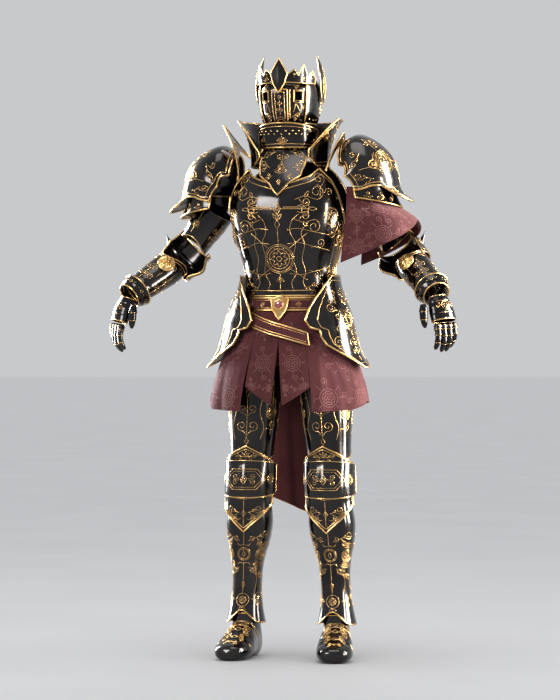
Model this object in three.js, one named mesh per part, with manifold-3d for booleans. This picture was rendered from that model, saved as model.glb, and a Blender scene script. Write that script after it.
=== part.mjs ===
// Full harness of plate armour with its cloth: skirt, back tail and half sleeve.
// Millimetres, +Z up. The armour faces -Y and its left arm is on +X. Heights in the
// tables are above the soles; the outer group lowers everything by SHOULDER_HEIGHT,
// so that the origin is inside the cuirass at the shoulder line.
import * as THREE from 'three';
import { mergeVertices } from 'three/addons/utils/BufferGeometryUtils.js';
import Module from 'manifold-3d';

const wasm = await Module();
wasm.setup();

// ---------------------------------------------------------------- driving sizes
const SHOULDER_HEIGHT = 1450;
const PLATE = 2.0;
const CLOTH = 2.0;
const SEAM = 0.3;
const LEFT_SHOULDER_RAISE = 26;
const TOE_OUT = { left: 11, right: 4 };
const SHOULDER = [180, 10, 1455];
const ELBOW = [350, 40, 1238];
const WRIST = [484, -118, 1111];
const FINGERTIPS = [527, -144, 974];
const LEFT = 1;
const RIGHT = -1;
const DEGREE = Math.PI / 180;

const FINISH = {
  steel: { color: 0x141312, roughness: 0.16, metalness: 0.9 },
  gold: { color: 0xc9974a, roughness: 0.2, metalness: 1.0 },
  cloth: { color: 0x66282c, roughness: 0.85, metalness: 0.0 },
};

// ---------------------------------------------------------------- section tables
// at: height or distance along the form; x, y: centre; side, front, back: reach of the
// section from its centre. An angle of 0 is the front, 90 the outer side, 180 the back.
const TORSO = [
  { at: 1050, side: 147, front: 120, back: 114 },
  { at: 1110, side: 138, front: 116, back: 104 },
  { at: 1180, side: 139, front: 122, back: 100 },
  { at: 1260, side: 159, front: 142, back: 112 },
  { at: 1330, side: 179, front: 157, back: 124 },
  { at: 1400, side: 184, front: 156, back: 128 },
  { at: 1450, side: 172, front: 138, back: 124 },
  { at: 1500, side: 142, front: 108, back: 108 },
  { at: 1540, side: 112, front: 86, back: 92 },
];
const NECK = [
  { at: 1400, side: 191, front: 163, back: 134 },
  { at: 1450, side: 178, front: 145, back: 130 },
  { at: 1500, side: 148, front: 114, back: 112 },
  { at: 1540, side: 108, front: 88, back: 92 },
  { at: 1562, side: 91, front: 81, back: 84 },
  { at: 1600, side: 86, front: 80, back: 82 },
];
const CHIN = [
  { at: 1556, side: 91, front: 92, back: 90 },
  { at: 1600, side: 96, front: 106, back: 98 },
  { at: 1646, side: 100, front: 118, back: 104 },
];
const COLLAR = [
  { at: 1496, side: 122, front: 99, back: 109 },
  { at: 1528, side: 122, front: 100, back: 110 },
  { at: 1560, side: 125, front: 108, back: 114 },
  { at: 1604, side: 136, front: 124, back: 126 },
  { at: 1640, side: 154, front: 142, back: 144 },
  { at: 1664, side: 174, front: 158, back: 162 },
];
const HEAD = [
  { at: 1636, side: 78, front: 100, back: 96 },
  { at: 1665, side: 88, front: 114, back: 112 },
  { at: 1700, side: 93, front: 124, back: 124 },
  { at: 1735, side: 95, front: 127, back: 128 },
  { at: 1758, side: 92, front: 121, back: 124 },
  { at: 1775, side: 79, front: 103, back: 107 },
  { at: 1787, side: 57, front: 74, back: 79 },
  { at: 1794, side: 30, front: 38, back: 42 },
  { at: 1797, side: 0, front: 0, back: 0 },
];
const CROWN = [
  { at: 1756, side: 98, front: 129, back: 130 },
  { at: 1820, side: 104, front: 136, back: 136 },
];
const HIPS = [
  { at: 890, y: -14, side: 257, front: 170, back: 182 },
  { at: 930, y: -13, side: 229, front: 161, back: 172 },
  { at: 970, y: -12, side: 214, front: 155, back: 164 },
  { at: 1040, y: -10, side: 197, front: 148, back: 153 },
  { at: 1087, y: -6, side: 181, front: 143, back: 140 },
  { at: 1130, y: -3, side: 164, front: 137, back: 126 },
  { at: 1174, y: 0, side: 154, front: 132, back: 113 },
];
const SKIRT = [
  { at: 430, y: 0, side: 203, front: 170, back: 186 },
  { at: 600, y: -6, side: 230, front: 166, back: 187 },
  { at: 765, y: -12, side: 248, front: 158, back: 184 },
  { at: 830, y: -12, side: 238, front: 153, back: 175 },
  { at: 890, y: -12, side: 220, front: 146, back: 165 },
  { at: 950, y: -10, side: 196, front: 139, back: 153 },
  { at: 1000, y: -7, side: 177, front: 134, back: 140 },
  { at: 1062, y: 0, side: 149, front: 124, back: 120 },
];
const THIGH = [
  { at: 600, x: 124, side: 65, front: 63, back: 64 },
  { at: 660, x: 121, side: 69, front: 68, back: 71 },
  { at: 760, x: 116, side: 77, front: 77, back: 82 },
  { at: 905, x: 109, side: 82, front: 84, back: 88 },
];
const KNEE = [
  { at: 384, x: 131, side: 79, front: 69, back: 80 },
  { at: 430, x: 130, side: 79, front: 72, back: 80 },
  { at: 480, x: 128, side: 76, front: 76, back: 74 },
  { at: 510, x: 127, side: 75, front: 83, back: 72 },
  { at: 539, x: 126, side: 75, front: 86, back: 72 },
  { at: 565, x: 125, side: 75, front: 82, back: 72 },
  { at: 600, x: 124, side: 75, front: 76, back: 72 },
  { at: 655, x: 121, side: 77, front: 76, back: 78 },
];
const SHIN = [
  { at: 104, x: 145, y: 14, side: 60, front: 68, back: 55 },
  { at: 150, x: 144, y: 13, side: 51, front: 56, back: 48 },
  { at: 200, x: 142, y: 11, side: 45, front: 47, back: 46 },
  { at: 260, x: 139, y: 8, side: 46, front: 46, back: 50 },
  { at: 310, x: 137, y: 6, side: 53, front: 50, back: 61 },
  { at: 360, x: 134, y: 4, side: 65, front: 57, back: 75 },
  { at: 410, x: 131, y: 2, side: 71, front: 61, back: 80 },
  { at: 450, x: 129, y: 0, side: 68, front: 61, back: 72 },
  { at: 482, x: 128, y: 0, side: 62, front: 59, back: 62 },
];
// Foot sections stand across the foot at the toe and tilt back to lie flat at the ankle.
const FOOT = [
  { at: 0, y: -172, z: 22, pitch: 0, side: 0, front: 0, back: 0 },
  { at: 1, y: -166, z: 22, pitch: 0, side: 28, front: 15, back: 18 },
  { at: 2, y: -148, z: 23, pitch: 0, side: 45, front: 26, back: 23 },
  { at: 3, y: -112, z: 24, pitch: 0, side: 55, front: 36, back: 24 },
  { at: 4, y: -70, z: 30, pitch: 4, side: 54, front: 51, back: 30 },
  { at: 5, y: -28, z: 42, pitch: 14, side: 48, front: 63, back: 41 },
  { at: 6, y: 16, z: 60, pitch: 46, side: 42, front: 66, back: 78 },
  { at: 7, y: 16, z: 96, pitch: 80, side: 40, front: 50, back: 50 },
  { at: 8, y: 12, z: 134, pitch: 90, side: 42, front: 44, back: 42 },
];
// Arm tables: at is the distance from the joint that the bone starts at.
const UPPER_ARM = [
  { at: 60, side: 58, front: 60, back: 60 },
  { at: 140, side: 55, front: 56, back: 56 },
  { at: 200, side: 50, front: 50, back: 50 },
  { at: 250, side: 47, front: 47, back: 47 },
];
const ELBOW_CAP = [
  { at: -54, side: 61, front: 59, back: 63 },
  { at: -26, side: 63, front: 62, back: 66 },
  { at: 0, side: 66, front: 64, back: 69 },
  { at: 26, side: 64, front: 62, back: 66 },
  { at: 54, side: 61, front: 59, back: 60 },
];
const FOREARM = [
  { at: 34, side: 46, front: 46, back: 45 },
  { at: 74, side: 51, front: 50, back: 49 },
  { at: 140, side: 48, front: 46, back: 45 },
  { at: 214, side: 43, front: 41, back: 41 },
];
const CUFF = [
  { at: -38, side: 54, front: 52, back: 51 },
  { at: -18, side: 46, front: 46, back: 45 },
  { at: 2, side: 40, front: 39, back: 38 },
];
const HAND = [
  { at: 6, side: 29, front: 21, back: 19 },
  { at: 30, side: 37, front: 26, back: 21 },
  { at: 56, side: 42, front: 28, back: 22 },
  { at: 84, side: 43, front: 24, back: 19 },
];
// Shoulder tables: x, z is the outline over the shoulder, from neck to arm; tilt is the
// slope of its outward direction from upright; reach is half the depth, drop the arch.
const SHOULDER_CAP = [
  { at: 0, x: 164, z: 1550, tilt: -8, reach: 84, drop: 62 },
  { at: 1, x: 214, z: 1577, tilt: 10, reach: 104, drop: 92 },
  { at: 2, x: 272, z: 1555, tilt: 34, reach: 118, drop: 112 },
  { at: 3, x: 318, z: 1510, tilt: 60, reach: 122, drop: 118 },
  { at: 4, x: 338, z: 1456, tilt: 80, reach: 117, drop: 112 },
  { at: 5, x: 348, z: 1408, tilt: 92, reach: 112, drop: 108 },
  { at: 6, x: 386, z: 1372, tilt: 98, reach: 130, drop: 142 },
];
const SHOULDER_LAME = [
  { at: 0, x: 326, z: 1430, tilt: 88, reach: 104, drop: 98 },
  { at: 1, x: 330, z: 1390, tilt: 92, reach: 104, drop: 98 },
  { at: 2, x: 350, z: 1352, tilt: 97, reach: 112, drop: 112 },
];
const HALF_SLEEVE = [
  { at: 0, x: 318, z: 1440, tilt: 90, reach: 97, drop: 94 },
  { at: 45, x: 328, y: 2, z: 1396, tilt: 92, reach: 101, drop: 102 },
  { at: 110, x: 402, y: 4, z: 1338, tilt: 95, reach: 122, drop: 160 },
  { at: 230, x: 438, y: 18, z: 1216, tilt: 93, reach: 136, drop: 200 },
  { at: 260, x: 446, y: 20, z: 1186, tilt: 93, reach: 140, drop: 208 },
];

// ---------------------------------------------------------------- small vector helpers
const vector = (x, y, z) => new THREE.Vector3(x, y, z);
const fromArray = (a) => new THREE.Vector3(...a);

// Value of one column of a table at t: a smooth cubic through the rows.
function column(rows, name, t) {
  const last = rows.length - 1;
  let i = 0;
  while (i < last - 1 && t > rows[i + 1].at) {
    i += 1;
  }
  const value = (k) => rows[k][name] ?? 0;
  const slope = (k) => {
    const low = Math.max(k - 1, 0);
    const high = Math.min(k + 1, last);
    return (value(high) - value(low)) / (rows[high].at - rows[low].at);
  };
  const width = rows[i + 1].at - rows[i].at;
  const s = Math.min(Math.max((t - rows[i].at) / width, 0), 1);
  return (2 * s ** 3 - 3 * s ** 2 + 1) * value(i)
    + (s ** 3 - 2 * s ** 2 + s) * width * slope(i)
    + (3 * s ** 2 - 2 * s ** 3) * value(i + 1)
    + (s ** 3 - s ** 2) * width * slope(i + 1);
}

// Straight lines between the [key, value] pairs of an edge, so that its corners stay sharp.
function edge(pairs, key) {
  if (key <= pairs[0][0]) {
    return pairs[0][1];
  }
  for (let i = 1; i < pairs.length; i += 1) {
    const [k0, v0] = pairs[i - 1];
    const [k1, v1] = pairs[i];
    if (key <= k1) {
      return v0 + ((v1 - v0) * (key - k0)) / (k1 - k0);
    }
  }
  return pairs[pairs.length - 1][1];
}
const valueOf = (given, ...inputs) => (typeof given === 'function' ? given(...inputs) : given);
const bump = (x, centre, width) => Math.exp(-(((x - centre) / width) ** 2));
const power = (x, exponent) => Math.sign(x) * Math.abs(x) ** exponent;

// ---------------------------------------------------------------- forms
// A form gives the point of its surface at an angle (degrees) and a place t, and its centre.
function formOf(rows, square, frameAt) {
  const exponent = 2 / square;
  const centre = (t) => frameAt(t).centre;
  const point = (angle, t) => {
    const { centre: c, side, front } = frameAt(t);
    const across = power(Math.sin(angle * DEGREE), exponent) * column(rows, 'side', t);
    const cosine = power(Math.cos(angle * DEGREE), exponent);
    const ahead = cosine * column(rows, cosine > 0 ? 'front' : 'back', t);
    return c.clone().addScaledVector(side, across).addScaledVector(front, ahead);
  };
  return { point, centre };
}

function uprightForm(rows, square = 2.2) {
  const side = vector(1, 0, 0);
  const front = vector(0, -1, 0);
  return formOf(rows, square, (t) => ({
    centre: vector(column(rows, 'x', t), column(rows, 'y', t), t), side, front,
  }));
}

function boneForm(rows, start, end, frontHint, square = 2.1) {
  const along = fromArray(end).sub(fromArray(start)).normalize();
  const front = frontHint.clone().addScaledVector(along, -frontHint.dot(along)).normalize();
  const side = front.clone().cross(along);
  return formOf(rows, square, (t) => ({
    centre: fromArray(start).addScaledVector(along, t), side, front,
  }));
}

// The underside of the foot is flat: nothing reaches below the sole.
function footForm(rows) {
  const side = vector(1, 0, 0);
  const shoe = formOf(rows, 2.7, (t) => {
    const pitch = column(rows, 'pitch', t) * DEGREE;
    return {
      centre: vector(0, column(rows, 'y', t), column(rows, 'z', t)),
      side,
      front: vector(0, -Math.sin(pitch), Math.cos(pitch)),
    };
  });
  const point = (angle, t) => {
    const free = shoe.point(angle, t);
    free.z = Math.max(free.z, 0);
    return free;
  };
  return { point, centre: shoe.centre };
}

// Arched form over a shoulder: angle 0 is on the outline, +90 the front, -90 the back.
function archForm(rows, raise = 0) {
  const arched = rows.map((row) => ({ ...row, side: row.reach, front: row.drop, back: row.drop }));
  return formOf(arched, 2.05, (t) => {
    const tilt = column(rows, 'tilt', t) * DEGREE;
    const front = vector(Math.sin(tilt), 0, Math.cos(tilt));
    const outline = vector(column(rows, 'x', t), column(rows, 'y', t), column(rows, 'z', t) + raise);
    return { centre: outline.addScaledVector(front, -column(rows, 'drop', t)), side: vector(0, -1, 0),
      front };
  });
}

// ---------------------------------------------------------------- closed walls
function meshFrom(points, faces, name, finish) {
  const positions = [];
  for (const face of faces) {
    for (const corner of face) {
      positions.push(points[corner].x, points[corner].y, points[corner].z);
    }
  }
  let geometry = new THREE.BufferGeometry();
  geometry.setAttribute('position', new THREE.Float32BufferAttribute(positions, 3));
  geometry = dropSlivers(mergeVertices(geometry, 1e-3));
  if (volumeOf(geometry) < 0) {
    turnOver(geometry);
  }
  return named(geometry, name, finish);
}

function dropSlivers(geometry) {
  const index = geometry.getIndex().array;
  const kept = [];
  for (let i = 0; i < index.length; i += 3) {
    const [a, b, c] = [index[i], index[i + 1], index[i + 2]];
    if (a !== b && b !== c && c !== a) {
      kept.push(a, b, c);
    }
  }
  geometry.setIndex(kept);
  return geometry;
}

function volumeOf(geometry) {
  const position = geometry.getAttribute('position');
  const index = geometry.getIndex().array;
  const corner = (i) => new THREE.Vector3().fromBufferAttribute(position, index[i]);
  let volume = 0;
  for (let i = 0; i < index.length; i += 3) {
    volume += corner(i).dot(corner(i + 1).cross(corner(i + 2))) / 6;
  }
  return volume;
}

function turnOver(geometry) {
  const index = Array.from(geometry.getIndex().array);
  for (let i = 0; i < index.length; i += 3) {
    [index[i + 1], index[i + 2]] = [index[i + 2], index[i + 1]];
  }
  geometry.setIndex(index);
}

function named(geometry, name, finish) {
  const mesh = new THREE.Mesh(geometry, new THREE.MeshStandardMaterial(FINISH[finish]));
  mesh.name = name;
  return mesh;
}

// Triangles between an outer and an inner grid of points, with a rim wherever a cell ends
// the wall. round: the columns close on themselves. pole: the last row is one point.
// window(column, row) is true for the cells that are left out.
function wallMesh(outer, inner, { name, finish, hand = LEFT, round = false, pole = false,
  window = () => false }) {
  const across = outer[0].length;
  const rows = outer.length;
  const points = [...outer.flat(), ...inner.flat()].map((p) => vector(p.x * hand, p.y, p.z));
  const at = (layer, j, i) => layer * across * rows + j * across + ((i + across) % across);
  const spans = round ? across : across - 1;
  const wrap = (i) => (round ? (i + spans) % spans : i);
  const present = (i, j) => i >= 0 && i < spans && j >= 0 && j < rows - 1 && !window(i, j);
  const faces = [];
  const quad = (a, b, c, d) => faces.push([a, b, c], [a, c, d]);
  for (let j = 0; j < rows - 1; j += 1) {
    for (let i = 0; i < spans; i += 1) {
      if (present(i, j)) {
        quad(at(0, j, i), at(0, j, i + 1), at(0, j + 1, i + 1), at(0, j + 1, i));
        quad(at(1, j, i + 1), at(1, j, i), at(1, j + 1, i), at(1, j + 1, i + 1));
        if (!present(i, j - 1)) {
          quad(at(0, j, i + 1), at(0, j, i), at(1, j, i), at(1, j, i + 1));
        }
        if (!present(i, j + 1) && !(pole && j === rows - 2)) {
          quad(at(0, j + 1, i), at(0, j + 1, i + 1), at(1, j + 1, i + 1), at(1, j + 1, i));
        }
        if (!present(wrap(i - 1), j)) {
          quad(at(0, j, i), at(0, j + 1, i), at(1, j + 1, i), at(1, j, i));
        }
        if (!present(wrap(i + 1), j)) {
          quad(at(0, j + 1, i + 1), at(0, j, i + 1), at(1, j, i + 1), at(1, j + 1, i + 1));
        }
      }
    }
  }
  return meshFrom(points, faces, name, finish);
}

// Outward unit direction of a form at an angle and a place, pointing away from its centre.
function outwardAt(form, angle, t, reach) {
  const turn = 0.6;
  const step = reach * 0.004;
  const a = form.point(angle + turn, t).sub(form.point(angle - turn, t));
  const b = form.point(angle, t + step).sub(form.point(angle, t - step));
  const normal = a.cross(b).normalize();
  const away = form.point(angle, t).sub(form.centre(t));
  return normal.dot(away) < 0 ? normal.negate() : normal;
}

// Even steps from 0 to 1, unless they are given as a list.
const fractions = (given) => (
  typeof given === 'number' ? Array.from({ length: given + 1 }, (_, i) => i / given) : given
);

// A plate cut from a form: angles from..to, places low..high, raised by lift, wall thick.
function plate(form, spec) {
  const { from, to, low, high, across, along } = spec;
  const { lift = 0, wall = PLATE, round = false, pole = false } = spec;
  const columns = fractions(across);
  const turns = round ? columns.slice(0, -1) : columns;
  const steps = fractions(along);
  const outer = [];
  const inner = [];
  for (const v of steps) {
    const rowOuter = [];
    const rowInner = [];
    for (const u of turns) {
      const middle = valueOf(low, 0) + (valueOf(high, 0) - valueOf(low, 0)) * v;
      const a0 = valueOf(from, middle);
      const a1 = valueOf(to, middle);
      const angle = a0 + (a1 - a0) * u;
      const t0 = valueOf(low, angle);
      const t1 = valueOf(high, angle);
      const t = t0 + (t1 - t0) * v;
      const normal = outwardAt(form, angle, Math.min(t, spec.calm ?? Infinity), Math.abs(t1 - t0) + 1);
      const raised = valueOf(lift, angle, t);
      rowOuter.push(form.point(angle, t).addScaledVector(normal, raised));
      rowInner.push(form.point(angle, t).addScaledVector(normal, raised - wall));
    }
    outer.push(rowOuter);
    inner.push(rowInner);
  }
  if (pole) {
    const tip = outer[steps.length - 1][0].clone();
    outer[steps.length - 1].forEach((p) => p.copy(tip));
    const inward = spec.inward ?? vector(0, 0, -1);
    inner[steps.length - 1].forEach((p) => p.copy(tip).addScaledVector(inward, wall));
  }
  return wallMesh(outer, inner, spec);
}

// A free wall: point(u, v) is its middle surface, half the wall lies on each side.
function freeWall(point, spec) {
  const { across, along, wall = PLATE } = spec;
  const outer = [];
  const inner = [];
  const step = 0.01;
  for (let j = 0; j <= along; j += 1) {
    outer.push([]);
    inner.push([]);
    for (let i = 0; i <= across; i += 1) {
      const u = i / across;
      const v = j / along;
      const a = point(u + step, v).sub(point(u - step, v));
      const b = point(u, v + step).sub(point(u, v - step));
      const normal = a.cross(b).normalize();
      outer[j].push(point(u, v).addScaledVector(normal, wall / 2));
      inner[j].push(point(u, v).addScaledVector(normal, -wall / 2));
    }
  }
  return wallMesh(outer, inner, spec);
}

// A solid bar of oval section through stations, closed by a point at each end.
// Each station: p (centre), wide and thick (half sizes along the two directions given).
function bar(stations, wideWay, thickWay, sides, spec) {
  const { name, finish, hand = LEFT } = spec;
  const points = [stations[0].p.clone()];
  const middle = stations.slice(1, -1);
  middle.forEach((station) => {
    for (let i = 0; i < sides; i += 1) {
      const angle = (i / sides) * 2 * Math.PI;
      points.push(station.p.clone()
        .addScaledVector(wideWay, Math.cos(angle) * station.wide)
        .addScaledVector(thickWay, Math.sin(angle) * station.thick));
    }
  });
  points.push(stations[stations.length - 1].p.clone());
  const tip = points.length - 1;
  const ring = (k, i) => 1 + k * sides + (i % sides);
  const faces = [];
  for (let i = 0; i < sides; i += 1) {
    faces.push([0, ring(0, i + 1), ring(0, i)]);
    faces.push([tip, ring(middle.length - 1, i), ring(middle.length - 1, i + 1)]);
    for (let k = 0; k < middle.length - 1; k += 1) {
      faces.push([ring(k, i), ring(k, i + 1), ring(k + 1, i + 1)]);
      faces.push([ring(k, i), ring(k + 1, i + 1), ring(k + 1, i)]);
    }
  }
  return meshFrom(points.map((p) => vector(p.x * hand, p.y, p.z)), faces, name, finish);
}

// ---------------------------------------------------------------- joins and cuts
function solidOf(mesh) {
  let geometry = mesh.geometry.clone();
  geometry.deleteAttribute('normal');
  geometry.deleteAttribute('uv');
  geometry = mergeVertices(geometry, 1e-4);
  mesh.updateMatrix();
  geometry.applyMatrix4(mesh.matrix);
  return new wasm.Manifold(new wasm.Mesh({
    numProp: 3,
    vertProperties: new Float32Array(geometry.getAttribute('position').array),
    triVerts: new Uint32Array(geometry.getIndex().array),
  }));
}

function meshOf(solid, name, finish) {
  const result = solid.getMesh();
  const geometry = new THREE.BufferGeometry();
  geometry.setAttribute('position', new THREE.Float32BufferAttribute(Array.from(result.vertProperties), 3));
  geometry.setIndex(Array.from(result.triVerts));
  return named(geometry, name, finish);
}

// ---------------------------------------------------------------- the shared forms
const torso = uprightForm(TORSO, 2.3);
const neck = uprightForm(NECK, 2.2);
const chin = uprightForm(CHIN);
const collarForm = uprightForm(COLLAR);
const head = uprightForm(HEAD);
const crown = uprightForm(CROWN);
const hips = uprightForm(HIPS);
const skirt = uprightForm(SKIRT, 2.15);
const thigh = uprightForm(THIGH);
const knee = uprightForm(KNEE);
const shin = uprightForm(SHIN);
const foot = footForm(FOOT);
const AHEAD = vector(0, -1, 0);
const upperArm = boneForm(UPPER_ARM, SHOULDER, ELBOW, AHEAD);
const upperWay = fromArray(ELBOW).sub(fromArray(SHOULDER)).normalize();
const lowerWay = fromArray(WRIST).sub(fromArray(ELBOW)).normalize();
const PAST_ELBOW = fromArray(ELBOW).add(upperWay).add(lowerWay).toArray();
const elbowCap = boneForm(ELBOW_CAP, ELBOW, PAST_ELBOW, AHEAD);
const forearm = boneForm(FOREARM, ELBOW, WRIST, vector(0.35, -0.9, 0.2));
const PAST_WRIST = WRIST.map((value, i) => 2 * value - ELBOW[i]);
const cuff = boneForm(CUFF, WRIST, PAST_WRIST, vector(0.35, -0.9, 0.2));
const BACK_OF_HAND = vector(0.75, -0.66, 0);
const hand = boneForm(HAND, WRIST, FINGERTIPS, BACK_OF_HAND);

const harness = new THREE.Group();
const add = (mesh) => harness.add(mesh);
const bothHands = (build) => [['left', LEFT], ['right', RIGHT]].forEach(([word, side]) => build(word, side));

// ---------------------------------------------------------------- head
const FACE_HALF = 50;
const CHIN_HEIGHT = 1637;
const BROW = 1762;
const HEAD_TOP = 1797;
const HEAD_LEVELS = [CHIN_HEIGHT, 1668, 1700, 1732, BROW, 1774, 1784, 1792, HEAD_TOP];
const HEAD_TURNS = [0, 12, 24, 37, FACE_HALF, 64, 80, 98, 118, 138, 159];
const headTurns = [-180, ...HEAD_TURNS.slice(1).reverse().map((angle) => -angle), ...HEAD_TURNS, 180];
add(plate(head, {
  name: 'helm_skull', finish: 'steel', from: -180, to: 180, low: CHIN_HEIGHT, high: HEAD_TOP, round: true,
  pole: true,
  across: headTurns.map((angle) => (angle + 180) / 360),
  along: HEAD_LEVELS.map((z) => (z - CHIN_HEIGHT) / (HEAD_TOP - CHIN_HEIGHT)), calm: 1794,
  window: (i, j) => Math.abs((headTurns[i] + headTurns[i + 1]) / 2) < FACE_HALF && HEAD_LEVELS[j] < BROW,
}));

const EYE = { angle: 34, height: 1718, wide: 28, tall: 30 };
const facePlate = plate(head, {
  name: 'face_plate', finish: 'steel', from: -54, to: 54, low: 1638, high: 1766,
  lift: (angle, z) => -4.6 - 0.12 * Math.max(z - 1738, 0),
  across: 12, along: 5,
});
const eyeCutter = (side) => {
  const cutter = new THREE.Mesh(new THREE.BoxGeometry(EYE.wide, 80, EYE.tall));
  cutter.position.set(side * 98 * Math.sin(EYE.angle * DEGREE), -122 * Math.cos(EYE.angle * DEGREE),
    EYE.height);
  cutter.rotation.z = side * EYE.angle * DEGREE;
  return solidOf(cutter);
};
add(meshOf(solidOf(facePlate).subtract(eyeCutter(LEFT)).subtract(eyeCutter(RIGHT)), 'face_plate', 'steel'));

const NOSE_HALF = 11.5;
add(plate(head, {
  name: 'nose_guard', finish: 'steel', from: -NOSE_HALF, to: NOSE_HALF, lift: 7, wall: 4, across: 4, along: 4,
  low: (angle) => 1645 + 5 * Math.cos((angle / NOSE_HALF) * Math.PI), high: 1735,
}));

// Kite-shaped plate standing on the brow, ridged down its middle.
function crestPlate() {
  const outline = [[0, 1831], [26, 1784], [17, 1752], [0, 1725], [-17, 1752], [-26, 1784]];
  const lean = (z) => -139.5 + (z - 1725) * 0.04;
  const ring = (shift) => outline.map(([x, z]) => vector(x, lean(z) + shift, z));
  const points = [...ring(-1.5), ...ring(2.5), vector(0, lean(1780) - 8, 1780),
    vector(0, lean(1780) + 2.5, 1780)];
  const faces = [];
  for (let i = 0; i < 6; i += 1) {
    const next = (i + 1) % 6;
    faces.push([12, i, next], [13, 6 + next, 6 + i], [i, 6 + i, 6 + next], [i, 6 + next, next]);
  }
  return meshFrom(points, faces, 'crest_plate', 'steel');
}
add(crestPlate());

const CROWN_EDGE = [[0, 1786], [12, 1780], [24, 1798], [31, 1778], [40, 1815], [50, 1776], [60, 1796],
  [68, 1772]];
add(plate(crown, {
  name: 'crown_band', finish: 'steel', from: -68, to: 68, low: 1757,
  high: (angle) => edge(CROWN_EDGE, Math.abs(angle)),
  across: [-68, -60, -50, -40, -31, -24, -12, 0, 12, 24, 31, 40, 50, 60, 68]
    .map((angle) => (angle + 68) / 136),
  along: 1,
}));

const HORN = [
  { x: 102, y: 6, z: 1700, wide: 0, thick: 0 },
  { x: 102, y: 6, z: 1716, wide: 17, thick: 3.5 },
  { x: 102.5, y: 6, z: 1742, wide: 29, thick: 4.5 },
  { x: 101, y: 5, z: 1770, wide: 32, thick: 6 },
  { x: 97, y: 4, z: 1798, wide: 28, thick: 6.5 },
  { x: 91, y: 1, z: 1826, wide: 16, thick: 4.5 },
  { x: 84, y: -2, z: 1850, wide: 0, thick: 0 },
];
bothHands((word, side) => {
  const stations = HORN.map((row) => ({ p: vector(row.x, row.y, row.z), wide: row.wide, thick: row.thick }));
  add(bar(stations, vector(0, 1, 0), vector(1, 0, 0.2).normalize(), 6,
    { name: `horn_${word}`, finish: 'steel', hand: side }));
});

// ---------------------------------------------------------------- neck
add(plate(chin, {
  name: 'bevor', finish: 'steel', from: -78, to: 78, low: 1563, across: 12, along: 3,
  high: (angle) => 1636 - 22 * Math.abs(angle / 78) ** 2,
}));
const COLLAR_FOOT = [[0, 1532], [14, 1508], [85, 1508], [99, 1550], [142, 1552]];
const collarSpan = (angle) => Math.min(angle - 38, 322 - angle);
add(plate(collarForm, {
  name: 'collar', finish: 'steel', from: 38, to: 322, across: 20, along: 4,
  low: (angle) => edge(COLLAR_FOOT, collarSpan(angle)),
  high: (angle) => 1552 + 98 * Math.min(collarSpan(angle) / 42, 1),
}));
const NECK_EDGE = [[0, 1414], [8, 1450], [21, 1477], [23, 1492], [35, 1532], [50, 1538]];
add(plate(neck, {
  name: 'neck_plate', finish: 'steel', from: -50, to: 50, high: 1571,
  low: (angle) => edge(NECK_EDGE, Math.abs(angle)),
  across: [-50, -42, -35, -29, -23, -21, -14, -8, 0, 8, 14, 21, 23, 29, 35, 42, 50]
    .map((angle) => (angle + 50) / 100),
  along: 4, lift: 0.8,
}));

// ---------------------------------------------------------------- trunk
const FRONT_TOP = [[0, 1444], [30, 1472], [48, 1498], [60, 1464], [72, 1384], [87, 1318]];
const BACK_TOP = [[0, 1534], [40, 1522], [56, 1490], [72, 1392], [87, 1320]];
add(plate(torso, {
  name: 'breastplate', finish: 'steel', from: -87, to: 87, low: 1110,
  high: (angle) => edge(FRONT_TOP, Math.abs(angle)),
  across: 16, along: 6,
}));
add(plate(torso, {
  name: 'backplate', finish: 'steel', from: 93, to: 267, low: 1110, across: 16, along: 6,
  high: (angle) => edge(BACK_TOP, Math.abs(angle - 180)),
}));
bothHands((word, side) => {
  const clasp = named(new THREE.TorusGeometry(11, 3.4, 6, 12), `side_clasp_${word}`, 'gold');
  const way = outwardAt(torso, 74, 1286, 50);
  const place = torso.point(74, 1286).addScaledVector(way, 5);
  clasp.position.set(place.x * side, place.y, place.z);
  clasp.quaternion.setFromUnitVectors(vector(0, 0, 1), vector(way.x * side, way.y, way.z));
  add(clasp);
});

// ---------------------------------------------------------------- shoulders and arms
const CAP_EDGE = [[0, 6], [22, 5.7], [50, 4.75], [70, 4.85], [97, 5.5]];
bothHands((word, side) => {
  const raise = side === LEFT ? LEFT_SHOULDER_RAISE : 0;
  add(plate(archForm(SHOULDER_CAP, raise), {
    name: `pauldron_${word}`, finish: 'steel', hand: side, from: -97, to: 97, low: 0,
    high: (angle) => edge(CAP_EDGE, Math.abs(angle)), across: 12, along: 7,
  }));
  add(plate(archForm(SHOULDER_LAME, raise), {
    name: `pauldron_lame_${word}`, finish: 'steel', hand: side, from: -92, to: 92, low: 0,
    high: (angle) => 2 - 0.5 * Math.abs(angle / 92), across: 10, along: 2, lift: side === LEFT ? 4 : 0,
  }));
});

// Upright guard beside the neck: the base runs from front to back, the top edge rises to a tip.
// It leans out more and more with height, and both ends curve in round the neck.
function neckGuard(name, side, tip, raise) {
  const point = (u, v) => {
    const y = -108 + 216 * u;
    const base = edge([[0, 1462], [0.3, 1536], [0.6, 1566], [1, 1540]], u);
    const top = edge([[0, 1476], [0.34, tip], [0.7, 1536 + (tip - 1536) * 0.42], [1, 1548]], u);
    const z = base + (top - base) * v;
    const lean = 0.0018 * Math.max(z - 1455, 0) ** 2;
    return vector(146 + lean - 7 * (2 * u - 1) ** 2, y * (1 - 0.12 * v), z + raise);
  };
  return freeWall(point, { name, finish: 'steel', hand: side, across: 9, along: 3, wall: 3 });
}
add(neckGuard('neck_guard_right', RIGHT, 1638, 0));
add(neckGuard('neck_guard_left', LEFT, 1584, LEFT_SHOULDER_RAISE));

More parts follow.
